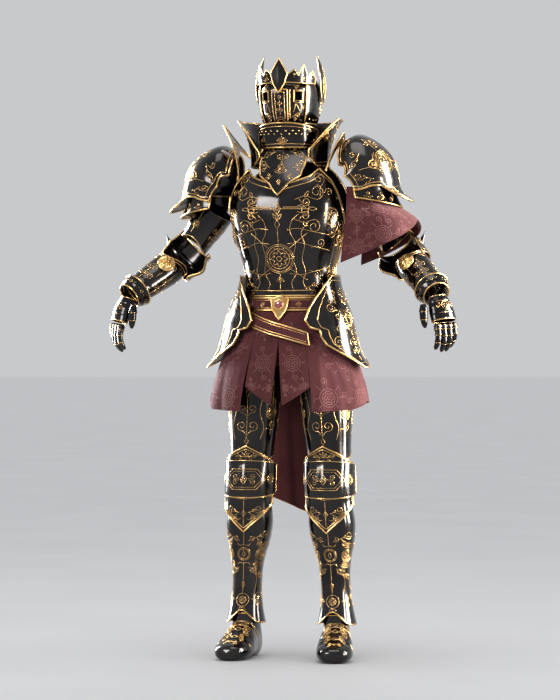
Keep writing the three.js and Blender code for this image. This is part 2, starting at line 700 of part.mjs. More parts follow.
function elbowLift(angle, t) {
  return 24 * bump(angle, 296, 24) * bump(t, 4, 30);
}
bothHands((word, side) => {
  add(plate(upperArm, {
    name: `rerebrace_${word}`, finish: 'steel', hand: side, from: -180, to: 180, low: 97, round: true,
    high: (angle) => 235 - 34 * bump(angle, 0, 58), across: 14, along: 3,
  }));
  const cap = plate(elbowCap, {
    name: `couter_${word}`, finish: 'steel', hand: side, from: 64, to: 296, low: -50, high: 50,
    across: 12, along: 5, lift: elbowLift,
  });
  const spikeFoot = elbowCap.point(92, 4);
  const spike = new THREE.Mesh(new THREE.ConeGeometry(11, 40, 6));
  spike.position.set((spikeFoot.x + 5) * side, spikeFoot.y + 4, spikeFoot.z + 12);
  spike.rotation.set(0, side * 0.35, 0);
  spike.rotateX(Math.PI / 2);
  add(meshOf(solidOf(cap).add(solidOf(spike)), `couter_${word}`, 'steel'));
  add(plate(forearm, {
    name: `vambrace_${word}`, finish: 'steel', hand: side, from: -180, to: 180, high: 212, round: true,
    low: (angle) => 38 + 34 * bump(angle, 0, 58), across: 14, along: 4,
  }));
  const discCentre = forearm.point(-30, 98);
  const discWay = outwardAt(forearm, -30, 98, 100);
  const disc = named(new THREE.LatheGeometry([
    new THREE.Vector2(0, 0), new THREE.Vector2(26, 0), new THREE.Vector2(26, 3),
    new THREE.Vector2(20, 8), new THREE.Vector2(0, 10)], 16), `couter_disc_${word}`, 'gold');
  disc.position.set((discCentre.x + discWay.x * 5) * side, discCentre.y + discWay.y * 5,
    discCentre.z + discWay.z * 5);
  disc.quaternion.setFromUnitVectors(vector(0, 1, 0), vector(discWay.x * side, discWay.y, discWay.z));
  add(disc);
});

// ---------------------------------------------------------------- hands
const handWay = fromArray(FINGERTIPS).sub(fromArray(WRIST)).normalize();
const backWay = BACK_OF_HAND.clone().addScaledVector(handWay, -BACK_OF_HAND.dot(handWay)).normalize();
const thumbWay = handWay.clone().cross(backWay);
const inHand = (t, toThumb, toBack) => fromArray(WRIST)
  .addScaledVector(handWay, t).addScaledVector(thumbWay, toThumb).addScaledVector(backWay, toBack);
const FINGERS = [
  { place: 30, reach: 0.94, curl: 0.85 },
  { place: 10, reach: 1.04, curl: 0.95 },
  { place: -10, reach: 1.0, curl: 1.1 },
  { place: -29, reach: 0.84, curl: 1.2 },
];
const FINGER_BENDS = [
  { t: 92, dip: 0, radius: 0 },
  { t: 94, dip: 0, radius: 9 },
  { t: 108, dip: 1, radius: 11 },
  { t: 130, dip: 6, radius: 9.5 },
  { t: 148, dip: 18, radius: 9 },
  { t: 160, dip: 34, radius: 7 },
  { t: 165, dip: 42, radius: 0 },
];
function fingerSolid(row, side) {
  const stations = FINGER_BENDS.map((bend) => ({
    p: inHand(92 + (bend.t - 92) * row.reach, row.place * (1 + (bend.t - 92) * 0.0015),
      2 - bend.dip * row.curl),
    wide: bend.radius, thick: bend.radius * 0.95,
  }));
  return solidOf(bar(stations, thumbWay, backWay, 5, { name: 'finger', finish: 'steel', hand: side }));
}
function knuckleSolid(side) {
  const stations = [-40, -36, 0, 36, 40].map((place, i) => ({
    p: inHand(101, place, 2), wide: [0, 8, 9, 8, 0][i], thick: [0, 9, 11, 9, 0][i],
  }));
  return solidOf(bar(stations, handWay, backWay, 6, { name: 'knuckles', finish: 'steel', hand: side }));
}
const THUMB = [
  { t: 26, out: 59, dip: 2, radius: 0 },
  { t: 30, out: 59, dip: 2, radius: 11 },
  { t: 56, out: 62, dip: 6, radius: 13 },
  { t: 82, out: 62, dip: 14, radius: 10 },
  { t: 96, out: 59, dip: 20, radius: 0 },
];
bothHands((word, side) => {
  add(plate(cuff, {
    name: `gauntlet_cuff_${word}`, finish: 'steel', hand: side, from: 0, to: 360, low: -38, high: -2,
    round: true, across: 14, along: 2,
  }));
  add(plate(hand, {
    name: `gauntlet_hand_${word}`, finish: 'steel', hand: side, from: 0, to: 360, low: 8, high: 84,
    round: true, across: 12, along: 3,
  }));
  const joined = FINGERS.map((row) => fingerSolid(row, side)).reduce((whole, one) => whole.add(one),
    knuckleSolid(side));
  add(meshOf(joined, `gauntlet_fingers_${word}`, 'steel'));
  const stations = THUMB.map((row) => ({ p: inHand(row.t, row.out, -row.dip), wide: row.radius,
    thick: row.radius }));
  add(bar(stations, thumbWay, backWay, 6, { name: `gauntlet_thumb_${word}`, finish: 'steel', hand: side }));
});

// ---------------------------------------------------------------- waist
const BELT_LIFT = 5;
add(plate(torso, {
  name: 'belt', finish: 'cloth', from: -180, to: 180, low: 1064, high: 1105, lift: BELT_LIFT, wall: 3,
  round: true, across: 28, along: 1,
}));
function beltPlate() {
  const outline = [[-27, 1100], [0, 1108], [27, 1100], [22, 1068], [0, 1036], [-22, 1068]];
  const y = -132;
  const ring = (shift) => outline.map(([x, z]) => vector(x,
    y - (1100 - z) * 0.12 + shift + Math.abs(x) * 0.12, z));
  const points = [...ring(0), ...ring(5), vector(0, y - 6, 1084), vector(0, y + 3, 1084)];
  const faces = [];
  for (let i = 0; i < 6; i += 1) {
    const next = (i + 1) % 6;
    faces.push([12, i, next], [13, 6 + next, 6 + i], [i, 6 + i, 6 + next], [i, 6 + next, next]);
  }
  return meshFrom(points, faces, 'belt_plate', 'gold');
}
add(beltPlate());

// The strap hangs slanting over the skirt front: u along it, v across it.
const STRAP = { startAngle: -34, endAngle: 27, startTop: 1056, endTop: 993, width: 36 };
add(freeWall((u, v) => {
  const angle = STRAP.startAngle + (STRAP.endAngle - STRAP.startAngle) * u;
  const z = STRAP.startTop + (STRAP.endTop - STRAP.startTop) * u - STRAP.width * (1 - v);
  const clear = 9 + 5 * u;
  return skirt.point(angle, z).addScaledVector(outwardAt(skirt, angle, z, 50), clear);
}, { name: 'hanging_strap', finish: 'cloth', across: 8, along: 1, wall: 3 }));

// Hip plate: the front edge steps in below the waist, then slants down to a tip at the side.
const HIP_EDGE = [
  [892, 79], [928, 60], [962, 41], [986, 37], [1006, 36], [1013, 27], [1036, 23], [1070, 28],
  [1100, 36], [1140, 52], [1172, 68]];
const HIP_BACK_EDGE = HIP_EDGE.map(([z, angle]) => [z, z < 900 ? 84 : 176 - angle]);
bothHands((word, side) => {
  add(plate(hips, {
    name: `hip_plate_${word}`, finish: 'steel', hand: side, low: 892, high: 1172, across: 8,
    along: HIP_EDGE.map(([z]) => (z - 892) / 280),
    from: (z) => edge(HIP_EDGE, z), to: (z) => edge(HIP_BACK_EDGE, z),
  }));
});

// ---------------------------------------------------------------- cloth
// Soft folds of the skirt: place round the body, depth at the hem, half width, in mm and degrees.
const FOLDS = [
  { at: -128, depth: 9, width: 9 }, { at: -96, depth: -7, width: 10 }, { at: -62, depth: 6, width: 8 },
  { at: 41, depth: -5, width: 7 }, { at: 74, depth: 8, width: 10 }, { at: 112, depth: -8, width: 9 },
  { at: 138, depth: 7, width: 8 }, { at: 168, depth: -8, width: 9 }, { at: 194, depth: 9, width: 8 },
];
function skirtFold(angle, z) {
  const spread = Math.min(Math.max((1000 - z) / 230, 0), 1);
  return FOLDS.reduce((sum, fold) => sum + spread * fold.depth * bump(angle, fold.at, fold.width), 0);
}
const SKIRT_TOP = 1061;
const cloth = (name, spec) => add(plate(skirt, {
  name, finish: 'cloth', wall: CLOTH, high: SKIRT_TOP, lift: skirtFold, ...spec,
}));
const gapAt = (z, wide) => (wide * Math.min(Math.max((980 - z) / 210, 0), 1));
cloth('skirt_front_right', {
  from: -24, to: (z) => -SEAM / 5 - gapAt(z, 3.2), low: (angle) => 768 + 66 * (Math.abs(angle) / 24),
  across: 5, along: 5,
});
cloth('skirt_front_left', {
  from: (z) => SEAM / 5 + gapAt(z, 3.2), to: 23.6, low: (angle) => 768 + 66 * (Math.abs(angle) / 24),
  across: 5, along: 5,
});
const SIDE_HEM = [[24, 757], [60, 764], [90, 790], [120, 776], [152, 764]];
cloth('skirt_side_left', { from: 23.9, to: 152, low: (angle) => edge(SIDE_HEM, Math.abs(angle)),
  across: 16, along: 5 });
cloth('skirt_side_right', {
  from: -152, to: (z) => -24.4 - gapAt(z + 20, 2.6), low: (angle) => edge(SIDE_HEM, Math.abs(angle)),
  across: 16, along: 5,
});
cloth('back_tail', { from: 152.3, to: 207.7, low: (angle) => 440 + 46 * Math.abs(angle - 180) / 27.7,
  across: 8, along: 8 });

const SLEEVE_FOLDS = [
  { at: 62, depth: 5, width: 12 },
  { at: 30, depth: -4, width: 10 },
  { at: -40, depth: 5, width: 12 },
  { at: -76, depth: -5, width: 11 },
];
const sleeveFold = (angle, t) => SLEEVE_FOLDS.reduce(
  (sum, fold) => sum + (t / 150) * fold.depth * bump(angle, fold.at, fold.width),
  0,
);
const halfSleeve = archForm(HALF_SLEEVE);
const sleeve = (name, from, to) => add(plate(halfSleeve, {
  name, finish: 'cloth', from, to, wall: CLOTH, low: 0, across: 8, along: 5, lift: sleeveFold,
  high: (angle) => 104 + 146 * (Math.abs(angle) / 104) ** 1.15,
}));
sleeve('shoulder_cloth_front', SEAM / 2, 104);
sleeve('shoulder_cloth_back', -104, -SEAM / 2);

// ---------------------------------------------------------------- legs
bothHands((word, side) => {
  add(plate(thigh, {
    name: `cuisse_${word}`, finish: 'steel', hand: side, from: -180, to: 180, high: 900, round: true,
    across: 16, along: 4,
    low: (angle) => 602 + 74 * ((1 - Math.cos(angle * DEGREE)) / 2) ** 2,
  }));
  add(plate(knee, {
    name: `poleyn_upper_lame_${word}`, finish: 'steel', hand: side, from: -84, to: 84, low: 592,
    across: 12, along: 1,
    high: (angle) => 651 - 50 * Math.min(Math.abs(angle) / 78, 1) ** 0.9,
  }));
  add(plate(knee, {
    name: `poleyn_${word}`, finish: 'steel', hand: side, from: -94, to: 98, across: 14, along: 6, lift: 3.8,
    low: (angle) => 494 + 12 * Math.abs(angle / 96) ** 2,
    high: (angle) => 606 - 12 * Math.abs(angle / 96) ** 2,
  }));
  add(plate(knee, {
    name: `poleyn_lower_lame_${word}`, finish: 'steel', hand: side, from: -80, to: 80, across: 12, along: 2,
    high: 500, low: (angle) => 387 + 84 * Math.min(Math.abs(angle) / 74, 1) ** 0.85,
  }));
  add(plate(shin, {
    name: `greave_${word}`, finish: 'steel', hand: side, from: -180, to: 180, high: 480, round: true,
    across: 14, along: 7,
    low: (angle) => 105 + 40 * bump(angle, 0, 34),
  }));
  const boot = plate(foot, {
    name: `sabaton_${word}`, finish: 'steel', hand: side, from: -180, to: 180, low: 8, high: 0,
    round: true, pole: true, inward: vector(0, 1, 0),
    across: 12, along: 9,
  });
  boot.rotation.z = side * TOE_OUT[word] * DEGREE;
  boot.position.set(side * 145, 0, 0);
  add(boot);
});

const group = new THREE.Group();
harness.position.z = -SHOULDER_HEIGHT;
group.add(harness);

export default group;
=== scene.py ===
"""Looks of a full harness of black plate armour: gilt edges and ornament, red cloth, studio floor.

Sizes are in millimetres above the soles until a mesh is made; `to_frame` turns them into the
metres of the row's frame. The armour faces -Y and its left arm is on +X. Every plate is a wall
cut from a form, as the solids are, so the tables are the harness's own section tables.
"""
import math

import bpy
import numpy as np
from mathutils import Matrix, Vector


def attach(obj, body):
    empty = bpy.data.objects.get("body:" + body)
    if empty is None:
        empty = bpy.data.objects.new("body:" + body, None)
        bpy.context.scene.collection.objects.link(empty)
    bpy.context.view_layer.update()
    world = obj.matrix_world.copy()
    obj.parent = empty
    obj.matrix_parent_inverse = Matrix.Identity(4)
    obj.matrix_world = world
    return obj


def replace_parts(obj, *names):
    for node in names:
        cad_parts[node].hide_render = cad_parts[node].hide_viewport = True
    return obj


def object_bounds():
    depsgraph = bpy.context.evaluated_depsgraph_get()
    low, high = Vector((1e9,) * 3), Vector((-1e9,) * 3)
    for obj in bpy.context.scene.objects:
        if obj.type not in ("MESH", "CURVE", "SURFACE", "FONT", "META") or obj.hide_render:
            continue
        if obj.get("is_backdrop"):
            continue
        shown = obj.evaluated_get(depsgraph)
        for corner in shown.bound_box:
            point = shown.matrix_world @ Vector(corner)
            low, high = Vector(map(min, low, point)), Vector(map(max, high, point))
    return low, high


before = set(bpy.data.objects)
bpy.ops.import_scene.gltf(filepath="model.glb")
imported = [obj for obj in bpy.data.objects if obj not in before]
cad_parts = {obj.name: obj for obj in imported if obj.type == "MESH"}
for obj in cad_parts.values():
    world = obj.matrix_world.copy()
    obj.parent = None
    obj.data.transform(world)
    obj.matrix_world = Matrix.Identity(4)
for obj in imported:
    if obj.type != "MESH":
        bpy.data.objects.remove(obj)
cad_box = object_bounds()

# ------------------------------------------------------------------ driving sizes, mm and degrees
SHOULDER_HEIGHT = 1450.0
PLATE = 2.0
CLOTH = 2.0
SEAM = 0.3
LEFT_SHOULDER_RAISE = 26.0
TOE_OUT = {"left": 11.0, "right": 4.0}      # degrees
ANKLE_ASIDE = 145.0                         # from the middle to the ankle
SHOULDER = np.array([180.0, 10.0, 1455.0])
ELBOW = np.array([350.0, 40.0, 1238.0])
WRIST = np.array([484.0, -118.0, 1111.0])
FINGERTIPS = np.array([527.0, -144.0, 974.0])
HANDS = {"left": 1.0, "right": -1.0}

RIM = 2.7          # half thickness of a rolled gilt edge
WIRE = 1.25        # half width of a raised ornament line
WIRE_RISE = 0.9    # its height above the plate
FINE = 0.78        # share of those widths that the drawn filigree keeps
STITCH = 1.1       # half width of an embroidered line
GRID = 0.8         # share of each plate's stated grid that its shell is given
TAIL = (152.3, 207.7)       # degrees round the skirt that the back tail takes

STEEL_SLOT, GOLD_SLOT, CLOTH_SLOT = "black_steel", "gilded_metal", "red_cloth"


def table(names, *rows):
    """Named columns of a section table."""
    return dict(zip(names.split(), np.array(rows, dtype=float).T))


TORSO = table("at side front back",
              (1050, 147, 120, 114), (1110, 138, 116, 104), (1180, 139, 122, 100), (1260, 159, 142, 112),
              (1330, 179, 157, 124), (1400, 184, 156, 128), (1450, 172, 138, 124), (1500, 142, 108, 108),
              (1540, 112, 86, 92))
NECK = table("at side front back",
             (1400, 191, 163, 134), (1450, 178, 145, 130), (1500, 148, 114, 112), (1540, 108, 88, 92),
             (1562, 91, 81, 84), (1600, 86, 80, 82))
CHIN = table("at side front back", (1556, 91, 92, 90), (1600, 96, 106, 98), (1646, 100, 118, 104))
COLLAR = table("at side front back",
               (1496, 122, 99, 109), (1528, 122, 100, 110), (1560, 125, 108, 114), (1604, 136, 124, 126),
               (1640, 154, 142, 144),
               (1664, 174, 158, 162))
HEAD = table("at side front back",
             (1636, 78, 100, 96), (1665, 88, 114, 112), (1700, 93, 124, 124), (1735, 95, 127, 128),
             (1758, 92, 121, 124), (1775, 79, 103, 107), (1787, 57, 74, 79), (1794, 30, 38, 42),
             (1797, 0, 0, 0))
CROWN = table("at side front back", (1756, 98, 129, 130), (1820, 104, 136, 136))
HIPS = table("at y side front back",
             (890, -14, 257, 170, 182), (930, -13, 229, 161, 172), (970, -12, 214, 155, 164),
             (1040, -10, 197, 148, 153), (1087, -6, 181, 143, 140), (1130, -3, 164, 137, 126),
             (1174, 0, 154, 132, 113))
SKIRT = table("at y side front back",
              (430, 0, 203, 170, 186), (600, -6, 230, 166, 187), (765, -12, 248, 158, 184),
              (830, -12, 238, 153, 175), (890, -12, 220, 146, 165), (950, -10, 196, 139, 153),
              (1000, -7, 177, 134, 140), (1062, 0, 149, 124, 120))
THIGH = table("at x side front back",
              (600, 124, 65, 63, 64), (660, 121, 69, 68, 71), (760, 116, 77, 77, 82),
              (905, 109, 82, 84, 88))
KNEE = table("at x side front back",
             (384, 131, 79, 69, 80), (430, 130, 79, 72, 80), (480, 128, 76, 76, 74),
             (510, 127, 75, 83, 72),
             (539, 126, 75, 86, 72), (565, 125, 75, 82, 72), (600, 124, 75, 76, 72),
             (655, 121, 77, 76, 78))
SHIN = table("at x y side front back",
             (104, 145, 14, 60, 68, 55), (150, 144, 13, 51, 56, 48), (200, 142, 11, 45, 47, 46),
             (260, 139, 8, 46, 46, 50), (310, 137, 6, 53, 50, 61), (360, 134, 4, 65, 57, 75),
             (410, 131, 2, 71, 61, 80), (450, 129, 0, 68, 61, 72), (482, 128, 0, 62, 59, 62))
FOOT = table("at y z pitch side front back",
             (0, -172, 22, 0, 0, 0, 0), (1, -166, 22, 0, 28, 15, 18), (2, -148, 23, 0, 45, 26, 23),
             (3, -112, 24, 0, 55, 36, 24), (4, -70, 30, 4, 54, 51, 30), (5, -28, 42, 14, 48, 63, 41),
             (6, 16, 60, 46, 42, 66, 78), (7, 16, 96, 80, 40, 50, 50), (8, 12, 134, 90, 42, 44, 42))
UPPER_ARM = table("at side front back", (60, 58, 60, 60), (140, 55, 56, 56), (200, 50, 50, 50),
                  (250, 47, 47, 47))
ELBOW_CAP = table("at side front back",
                  (-54, 61, 59, 63), (-26, 63, 62, 66), (0, 66, 64, 69), (26, 64, 62, 66),
                  (54, 61, 59, 60))
FOREARM = table("at side front back", (34, 46, 46, 45), (74, 51, 50, 49), (140, 48, 46, 45),
                (214, 43, 41, 41))
CUFF = table("at side front back", (-38, 54, 52, 51), (-18, 46, 46, 45), (2, 40, 39, 38))
HAND = table("at side front back", (6, 29, 21, 19), (30, 37, 26, 21), (56, 42, 28, 22), (84, 43, 24, 19))
SHOULDER_CAP = table("at x z tilt side front back",
                     (0, 164, 1550, -8, 84, 62, 62), (1, 214, 1577, 10, 104, 92, 92),
                     (2, 272, 1555, 34, 118, 112, 112), (3, 318, 1510, 60, 122, 118, 118),
                     (4, 338, 1456, 80, 117, 112, 112), (5, 348, 1408, 92, 112, 108, 108),
                     (6, 386, 1372, 98, 130, 142, 142))
SHOULDER_LAME = table("at x z tilt side front back",
                      (0, 326, 1430, 88, 104, 98, 98), (1, 330, 1390, 92, 104, 98, 98),
                      (2, 350, 1352, 97, 112, 112, 112))
HALF_SLEEVE = table("at x y z tilt side front back",
                    (0, 318, 0, 1440, 90, 97, 94, 94), (45, 328, 2, 1396, 92, 101, 102, 102),
                    (110, 402, 4, 1338, 95, 122, 160, 160), (230, 438, 18, 1216, 93, 136, 200, 200),
                    (260, 446, 20, 1186, 93, 140, 208, 208))


# ------------------------------------------------------------------ numbers along a table
def column(rows, name, t):
    """Value of one column at t: a cubic through the rows whose slope at a row is the slope
    between its two neighbours, held at both ends."""
    at = rows["at"]
    value = rows.get(name, np.zeros_like(at))
    last = len(at) - 1
    before = np.clip(np.arange(last + 1) - 1, 0, last)
    after = np.clip(np.arange(last + 1) + 1, 0, last)
    slope = (value[after] - value[before]) / (at[after] - at[before])
    i = np.clip(np.searchsorted(at, t) - 1, 0, last - 1)
    width = at[i + 1] - at[i]
    s = np.clip((t - at[i]) / width, 0.0, 1.0)
    return ((2 * s**3 - 3 * s**2 + 1) * value[i] + (s**3 - 2 * s**2 + s) * width * slope[i]
            + (3 * s**2 - 2 * s**3) * value[i + 1] + (s**3 - s**2) * width * slope[i + 1])


def edge(pairs, key):
    """Straight lines between [key, value] pairs, so that an edge keeps its corners."""
    keys, values = np.array(pairs, dtype=float).T
    return np.interp(key, keys, values)


def bump(x, centre, width):
    """Bell curve of height one."""
    return np.exp(-(((x - centre) / width) ** 2))


def signed_power(x, exponent):
    return np.sign(x) * np.abs(x) ** exponent


def unit(v):
    return v / np.maximum(np.linalg.norm(v, axis=-1, keepdims=True), 1e-12)


def dot(a, b):
    return np.sum(a * b, axis=-1, keepdims=True)


def stacked(x, y, z):
    """Three numbers or arrays as one array of points."""
    return np.stack(np.broadcast_arrays(x, y, z), axis=-1).astype(float)


# ------------------------------------------------------------------ forms
class Form:
    """Surface of rounded sections: at an angle (0 front, 90 outer side, 180 back) and a place t, the
    point is centre + side * reach * sin(angle)^(2/square) + front * reach * cos(angle)^(2/square)."""

    def __init__(self, rows, frame_at, square=2.2, floor=None):
        self.rows, self.frame_at, self.exponent, self.floor = rows, frame_at, 2.0 / square, floor

    def point(self, angle, t):
        angle, t = np.broadcast_arrays(np.asarray(angle, float), np.asarray(t, float))
        centre, side, front = self.frame_at(t)
        sine = signed_power(np.sin(np.radians(angle)), self.exponent)
        cosine = signed_power(np.cos(np.radians(angle)), self.exponent)
        reach = np.where(cosine > 0, column(self.rows, "front", t), column(self.rows, "back", t))
        p = centre + side * (sine * column(self.rows, "side", t))[..., None]
        p = p + front * (cosine * reach)[..., None]
        if self.floor is not None:
            p[..., 2] = np.maximum(p[..., 2], self.floor)
        return p

    def outward(self, angle, t, step):
        """Unit direction away from the form: cross product of the steps round it and along it."""
        turn = 0.6
        round_it = self.point(angle + turn, t) - self.point(angle - turn, t)
        along_it = self.point(angle, t + step) - self.point(angle, t - step)
        normal = unit(np.cross(round_it, along_it))
        core = self.frame_at(np.broadcast_arrays(np.asarray(angle, float), t)[1])[0]
        away = self.point(angle, t) - core
        return np.where(dot(normal, away) < 0, -normal, normal)


def upright(rows, square=2.2):
    """Form with level sections, one above another."""
    side, front = np.array([1.0, 0.0, 0.0]), np.array([0.0, -1.0, 0.0])
    middle = lambda t: stacked(column(rows, "x", t), column(rows, "y", t), t)
    return Form(rows, lambda t: (middle(t), side, front), square)


def along_bone(rows, start, end, front_hint, square=2.1):
    """Form with sections across the straight line from start to end."""
    along = unit(end - start)
    front = unit(front_hint - along * np.dot(front_hint, along))
    side = np.cross(front, along)
    return Form(rows, lambda t: (start + along * np.asarray(t, float)[..., None], side, front), square)


def over_shoulder(rows, raised=0.0):
    """Arch over a shoulder: angle 0 is its outline seen from the front, +90 its front foot."""
    def frame_at(t):
        tilt = np.radians(column(rows, "tilt", t))
        front = stacked(np.sin(tilt), 0.0, np.cos(tilt))
        outline = stacked(column(rows, "x", t), column(rows, "y", t), column(rows, "z", t) + raised)
        return outline - front * column(rows, "front", t)[..., None], np.array([0.0, -1.0, 0.0]), front
    return Form(rows, frame_at, 2.05)


def shoe(rows):
    """Foot sections that stand across the toe and lie flat at the ankle, flat under the sole."""
    def frame_at(t):
        pitch = np.radians(column(rows, "pitch", t))
        centre = stacked(0.0, column(rows, "y", t), column(rows, "z", t))
        return centre, np.array([1.0, 0.0, 0.0]), stacked(0.0, -np.sin(pitch), np.cos(pitch))
    return Form(rows, frame_at, 2.7, floor=0.0)


AHEAD = np.array([0.0, -1.0, 0.0])
FOREARM_FRONT = np.array([0.35, -0.9, 0.2])
BACK_OF_HAND = np.array([0.75, -0.66, 0.0])
upper_way = unit(ELBOW - SHOULDER)
lower_way = unit(WRIST - ELBOW)
torso = upright(TORSO, 2.3)
neck = upright(NECK)
chin = upright(CHIN)
collar_form = upright(COLLAR)
head = upright(HEAD)
crown = upright(CROWN)
hips = upright(HIPS)
skirt = upright(SKIRT, 2.15)
thigh = upright(THIGH)
knee = upright(KNEE)
shin = upright(SHIN)
foot = shoe(FOOT)
upper_arm = along_bone(UPPER_ARM, SHOULDER, ELBOW, AHEAD)
elbow_cap = along_bone(ELBOW_CAP, ELBOW, ELBOW + upper_way + lower_way, AHEAD)
forearm = along_bone(FOREARM, ELBOW, WRIST, FOREARM_FRONT)
cuff = along_bone(CUFF, WRIST, 2 * WRIST - ELBOW, FOREARM_FRONT)
hand_form = along_bone(HAND, WRIST, FINGERTIPS, BACK_OF_HAND)


# ------------------------------------------------------------------ plates cut from a form
def as_function(given):
    return given if callable(given) else (lambda *_: given)


class Plate:
    """Part of a form between two angles and two places, each a number or a function of the other.
    `at(u, v)` takes 0..1 across and 0..1 along to points of its outer face."""

    def __init__(self, form, start, end, low, high, lift=0.0, wall=PLATE, closed=False, calm=None):
        self.form, self.wall, self.closed, self.calm = form, wall, closed, calm
        self.start, self.end, self.low, self.high = map(as_function, (start, end, low, high))
        self.lift = as_function(lift)

    def place(self, u, v):
        u, v = np.broadcast_arrays(np.asarray(u, float), np.asarray(v, float))
        zero = np.zeros(())
        middle = self.low(zero) + (self.high(zero) - self.low(zero)) * v
        first, last = self.start(middle), self.end(middle)
        angle = first + (last - first) * u
        low, high = self.low(angle), self.high(angle)
        return angle, low + (high - low) * v

    def raised(self, angle, t, above=0.0):
        """Points and outward directions of the outer face at an angle and a place."""
        span = abs(float(np.max(self.high(np.zeros(1)))) - float(np.min(self.low(np.zeros(1))))) + 1.0
        steady = t if self.calm is None else np.minimum(t, self.calm)
        outward = self.form.outward(angle, steady, span * 0.004)
        lift = np.broadcast_to(self.lift(angle, t), np.shape(t))[..., None]
        return self.form.point(angle, t) + outward * (lift + above), outward

    def at(self, u, v, above=0.0):
        return self.raised(*self.place(u, v), above)

    def holds(self, angle, t, margin_mm):
        """True where a place is on the plate, at least a margin inside its edges."""
        low, high = self.low(angle), self.high(angle)
        v = (t - low) / np.where(high == low, 1.0, high - low)
        zero = np.zeros(())
        middle = self.low(zero) + (self.high(zero) - self.low(zero)) * np.clip(v, 0, 1)
        first, last = self.start(middle), self.end(middle)
        two_degrees = self.form.point(angle + 1, t) - self.form.point(angle - 1, t)
        per_degree = np.linalg.norm(two_degrees, axis=-1) / 2
        unit_t = self.unit_length(angle, t)
        spare_t = np.minimum(t - np.minimum(low, high), np.maximum(low, high) - t)
        inside_t = (spare_t * unit_t) > margin_mm
        inside_a = (np.minimum(angle - first, last - angle) * per_degree > margin_mm) | self.closed
        return inside_t & inside_a

    def unit_length(self, angle, t):
        """Millimetres on the face for one unit of t."""
        span = abs(float(np.max(self.high(np.zeros(1)))) - float(np.min(self.low(np.zeros(1))))) + 1e-6
        step = span * 0.01
        return np.linalg.norm(self.form.point(angle, t + step) - self.form.point(angle, t - step),
                              axis=-1) / (2 * step)


class Sheet:
    """Free wall with the same calls as a plate: point(u, v) is its middle face."""

    def __init__(self, point, wall, closed=False):
        self.point, self.wall, self.closed = point, wall, closed

    def at(self, u, v, above=0.0):
        u, v = np.broadcast_arrays(np.asarray(u, float), np.asarray(v, float))
        step = 0.01
        a = self.point(u + step, v) - self.point(u - step, v)
        b = self.point(u, v + step) - self.point(u, v - step)
        outward = unit(np.cross(a, b))
        return self.point(u, v) + outward * (self.wall / 2 + above), outward


# ------------------------------------------------------------------ meshes
def to_frame(points, hand=1.0):
    """Millimetres above the soles to the row's metres; hand -1 mirrors a piece to the right side."""
    moved = np.array(points, dtype=float).reshape(-1, 3) * (hand, 1.0, 1.0)
    moved[:, 2] -= SHOULDER_HEIGHT
    return moved / 1000.0


def grid_quads(rows, across, closed=False):
    """Four corners of every cell of a grid of rows by columns."""
    j, i = np.meshgrid(np.arange(rows - 1), np.arange(across if closed else across - 1), indexing="ij")
    k = (i + 1) % across
    return np.stack([j * across + i, j * across + k, (j + 1) * across + k, (j + 1) * across + i],
                    axis=-1).reshape(-1, 4)


def enclosed(points, faces):
    """Signed volume inside faces: sum of a . (b x c) / 6 over the triangles fanned from their first
    corners. It is negative where the faces point inwards."""
    a = points[faces[:, 0]]
    return sum(np.sum(dot(a, np.cross(points[faces[:, k]], points[faces[:, k + 1]])))
               for k in range(1, faces.shape[1] - 1)) / 6


class Work:
    """Collects the parts of one piece and makes its mesh."""

    def __init__(self):
        self.points, self.quads, self.tris, self.uv, self.count = [], [], [], [], 0

    def add(self, points, quads=(), tris=(), uv=None):
        points = np.asarray(points, float).reshape(-1, 3)
        self.points.append(points)
        self.uv.append(np.zeros((len(points), 2)) if uv is None
                       else np.asarray(uv, float).reshape(-1, 2))
        if len(quads):
            self.quads.append(np.asarray(quads) + self.count)
        if len(tris):
            self.tris.append(np.asarray(tris) + self.count)
        self.count += len(points)

    def make(self, name, body, slot, material, hand=1.0, turn=None, smooth=True):
        points = np.vstack(self.points)
        if turn is not None:
            points = turn(points)
        points = to_frame(points, hand)
        groups = [np.vstack(group) for group in (self.quads, self.tris) if group]
        order = 1 if sum(enclosed(points, group) for group in groups) > 0 else -1
        mesh = bpy.data.meshes.new(name)
        mesh.from_pydata(points, [], [face for group in groups for face in group[:, ::order].tolist()])
        layer = mesh.uv_layers.new(name="cut")
        corner = np.empty(len(mesh.loops), dtype=np.int32)
        mesh.loops.foreach_get("vertex_index", corner)
        layer.data.foreach_set("uv", np.vstack(self.uv)[corner].ravel())
        mesh.shade_smooth() if smooth else mesh.shade_flat()
        mesh.materials.append(material)
        piece = bpy.data.objects.new(name, mesh)
        bpy.context.scene.collection.objects.link(piece)
        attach(piece, body)
        return piece


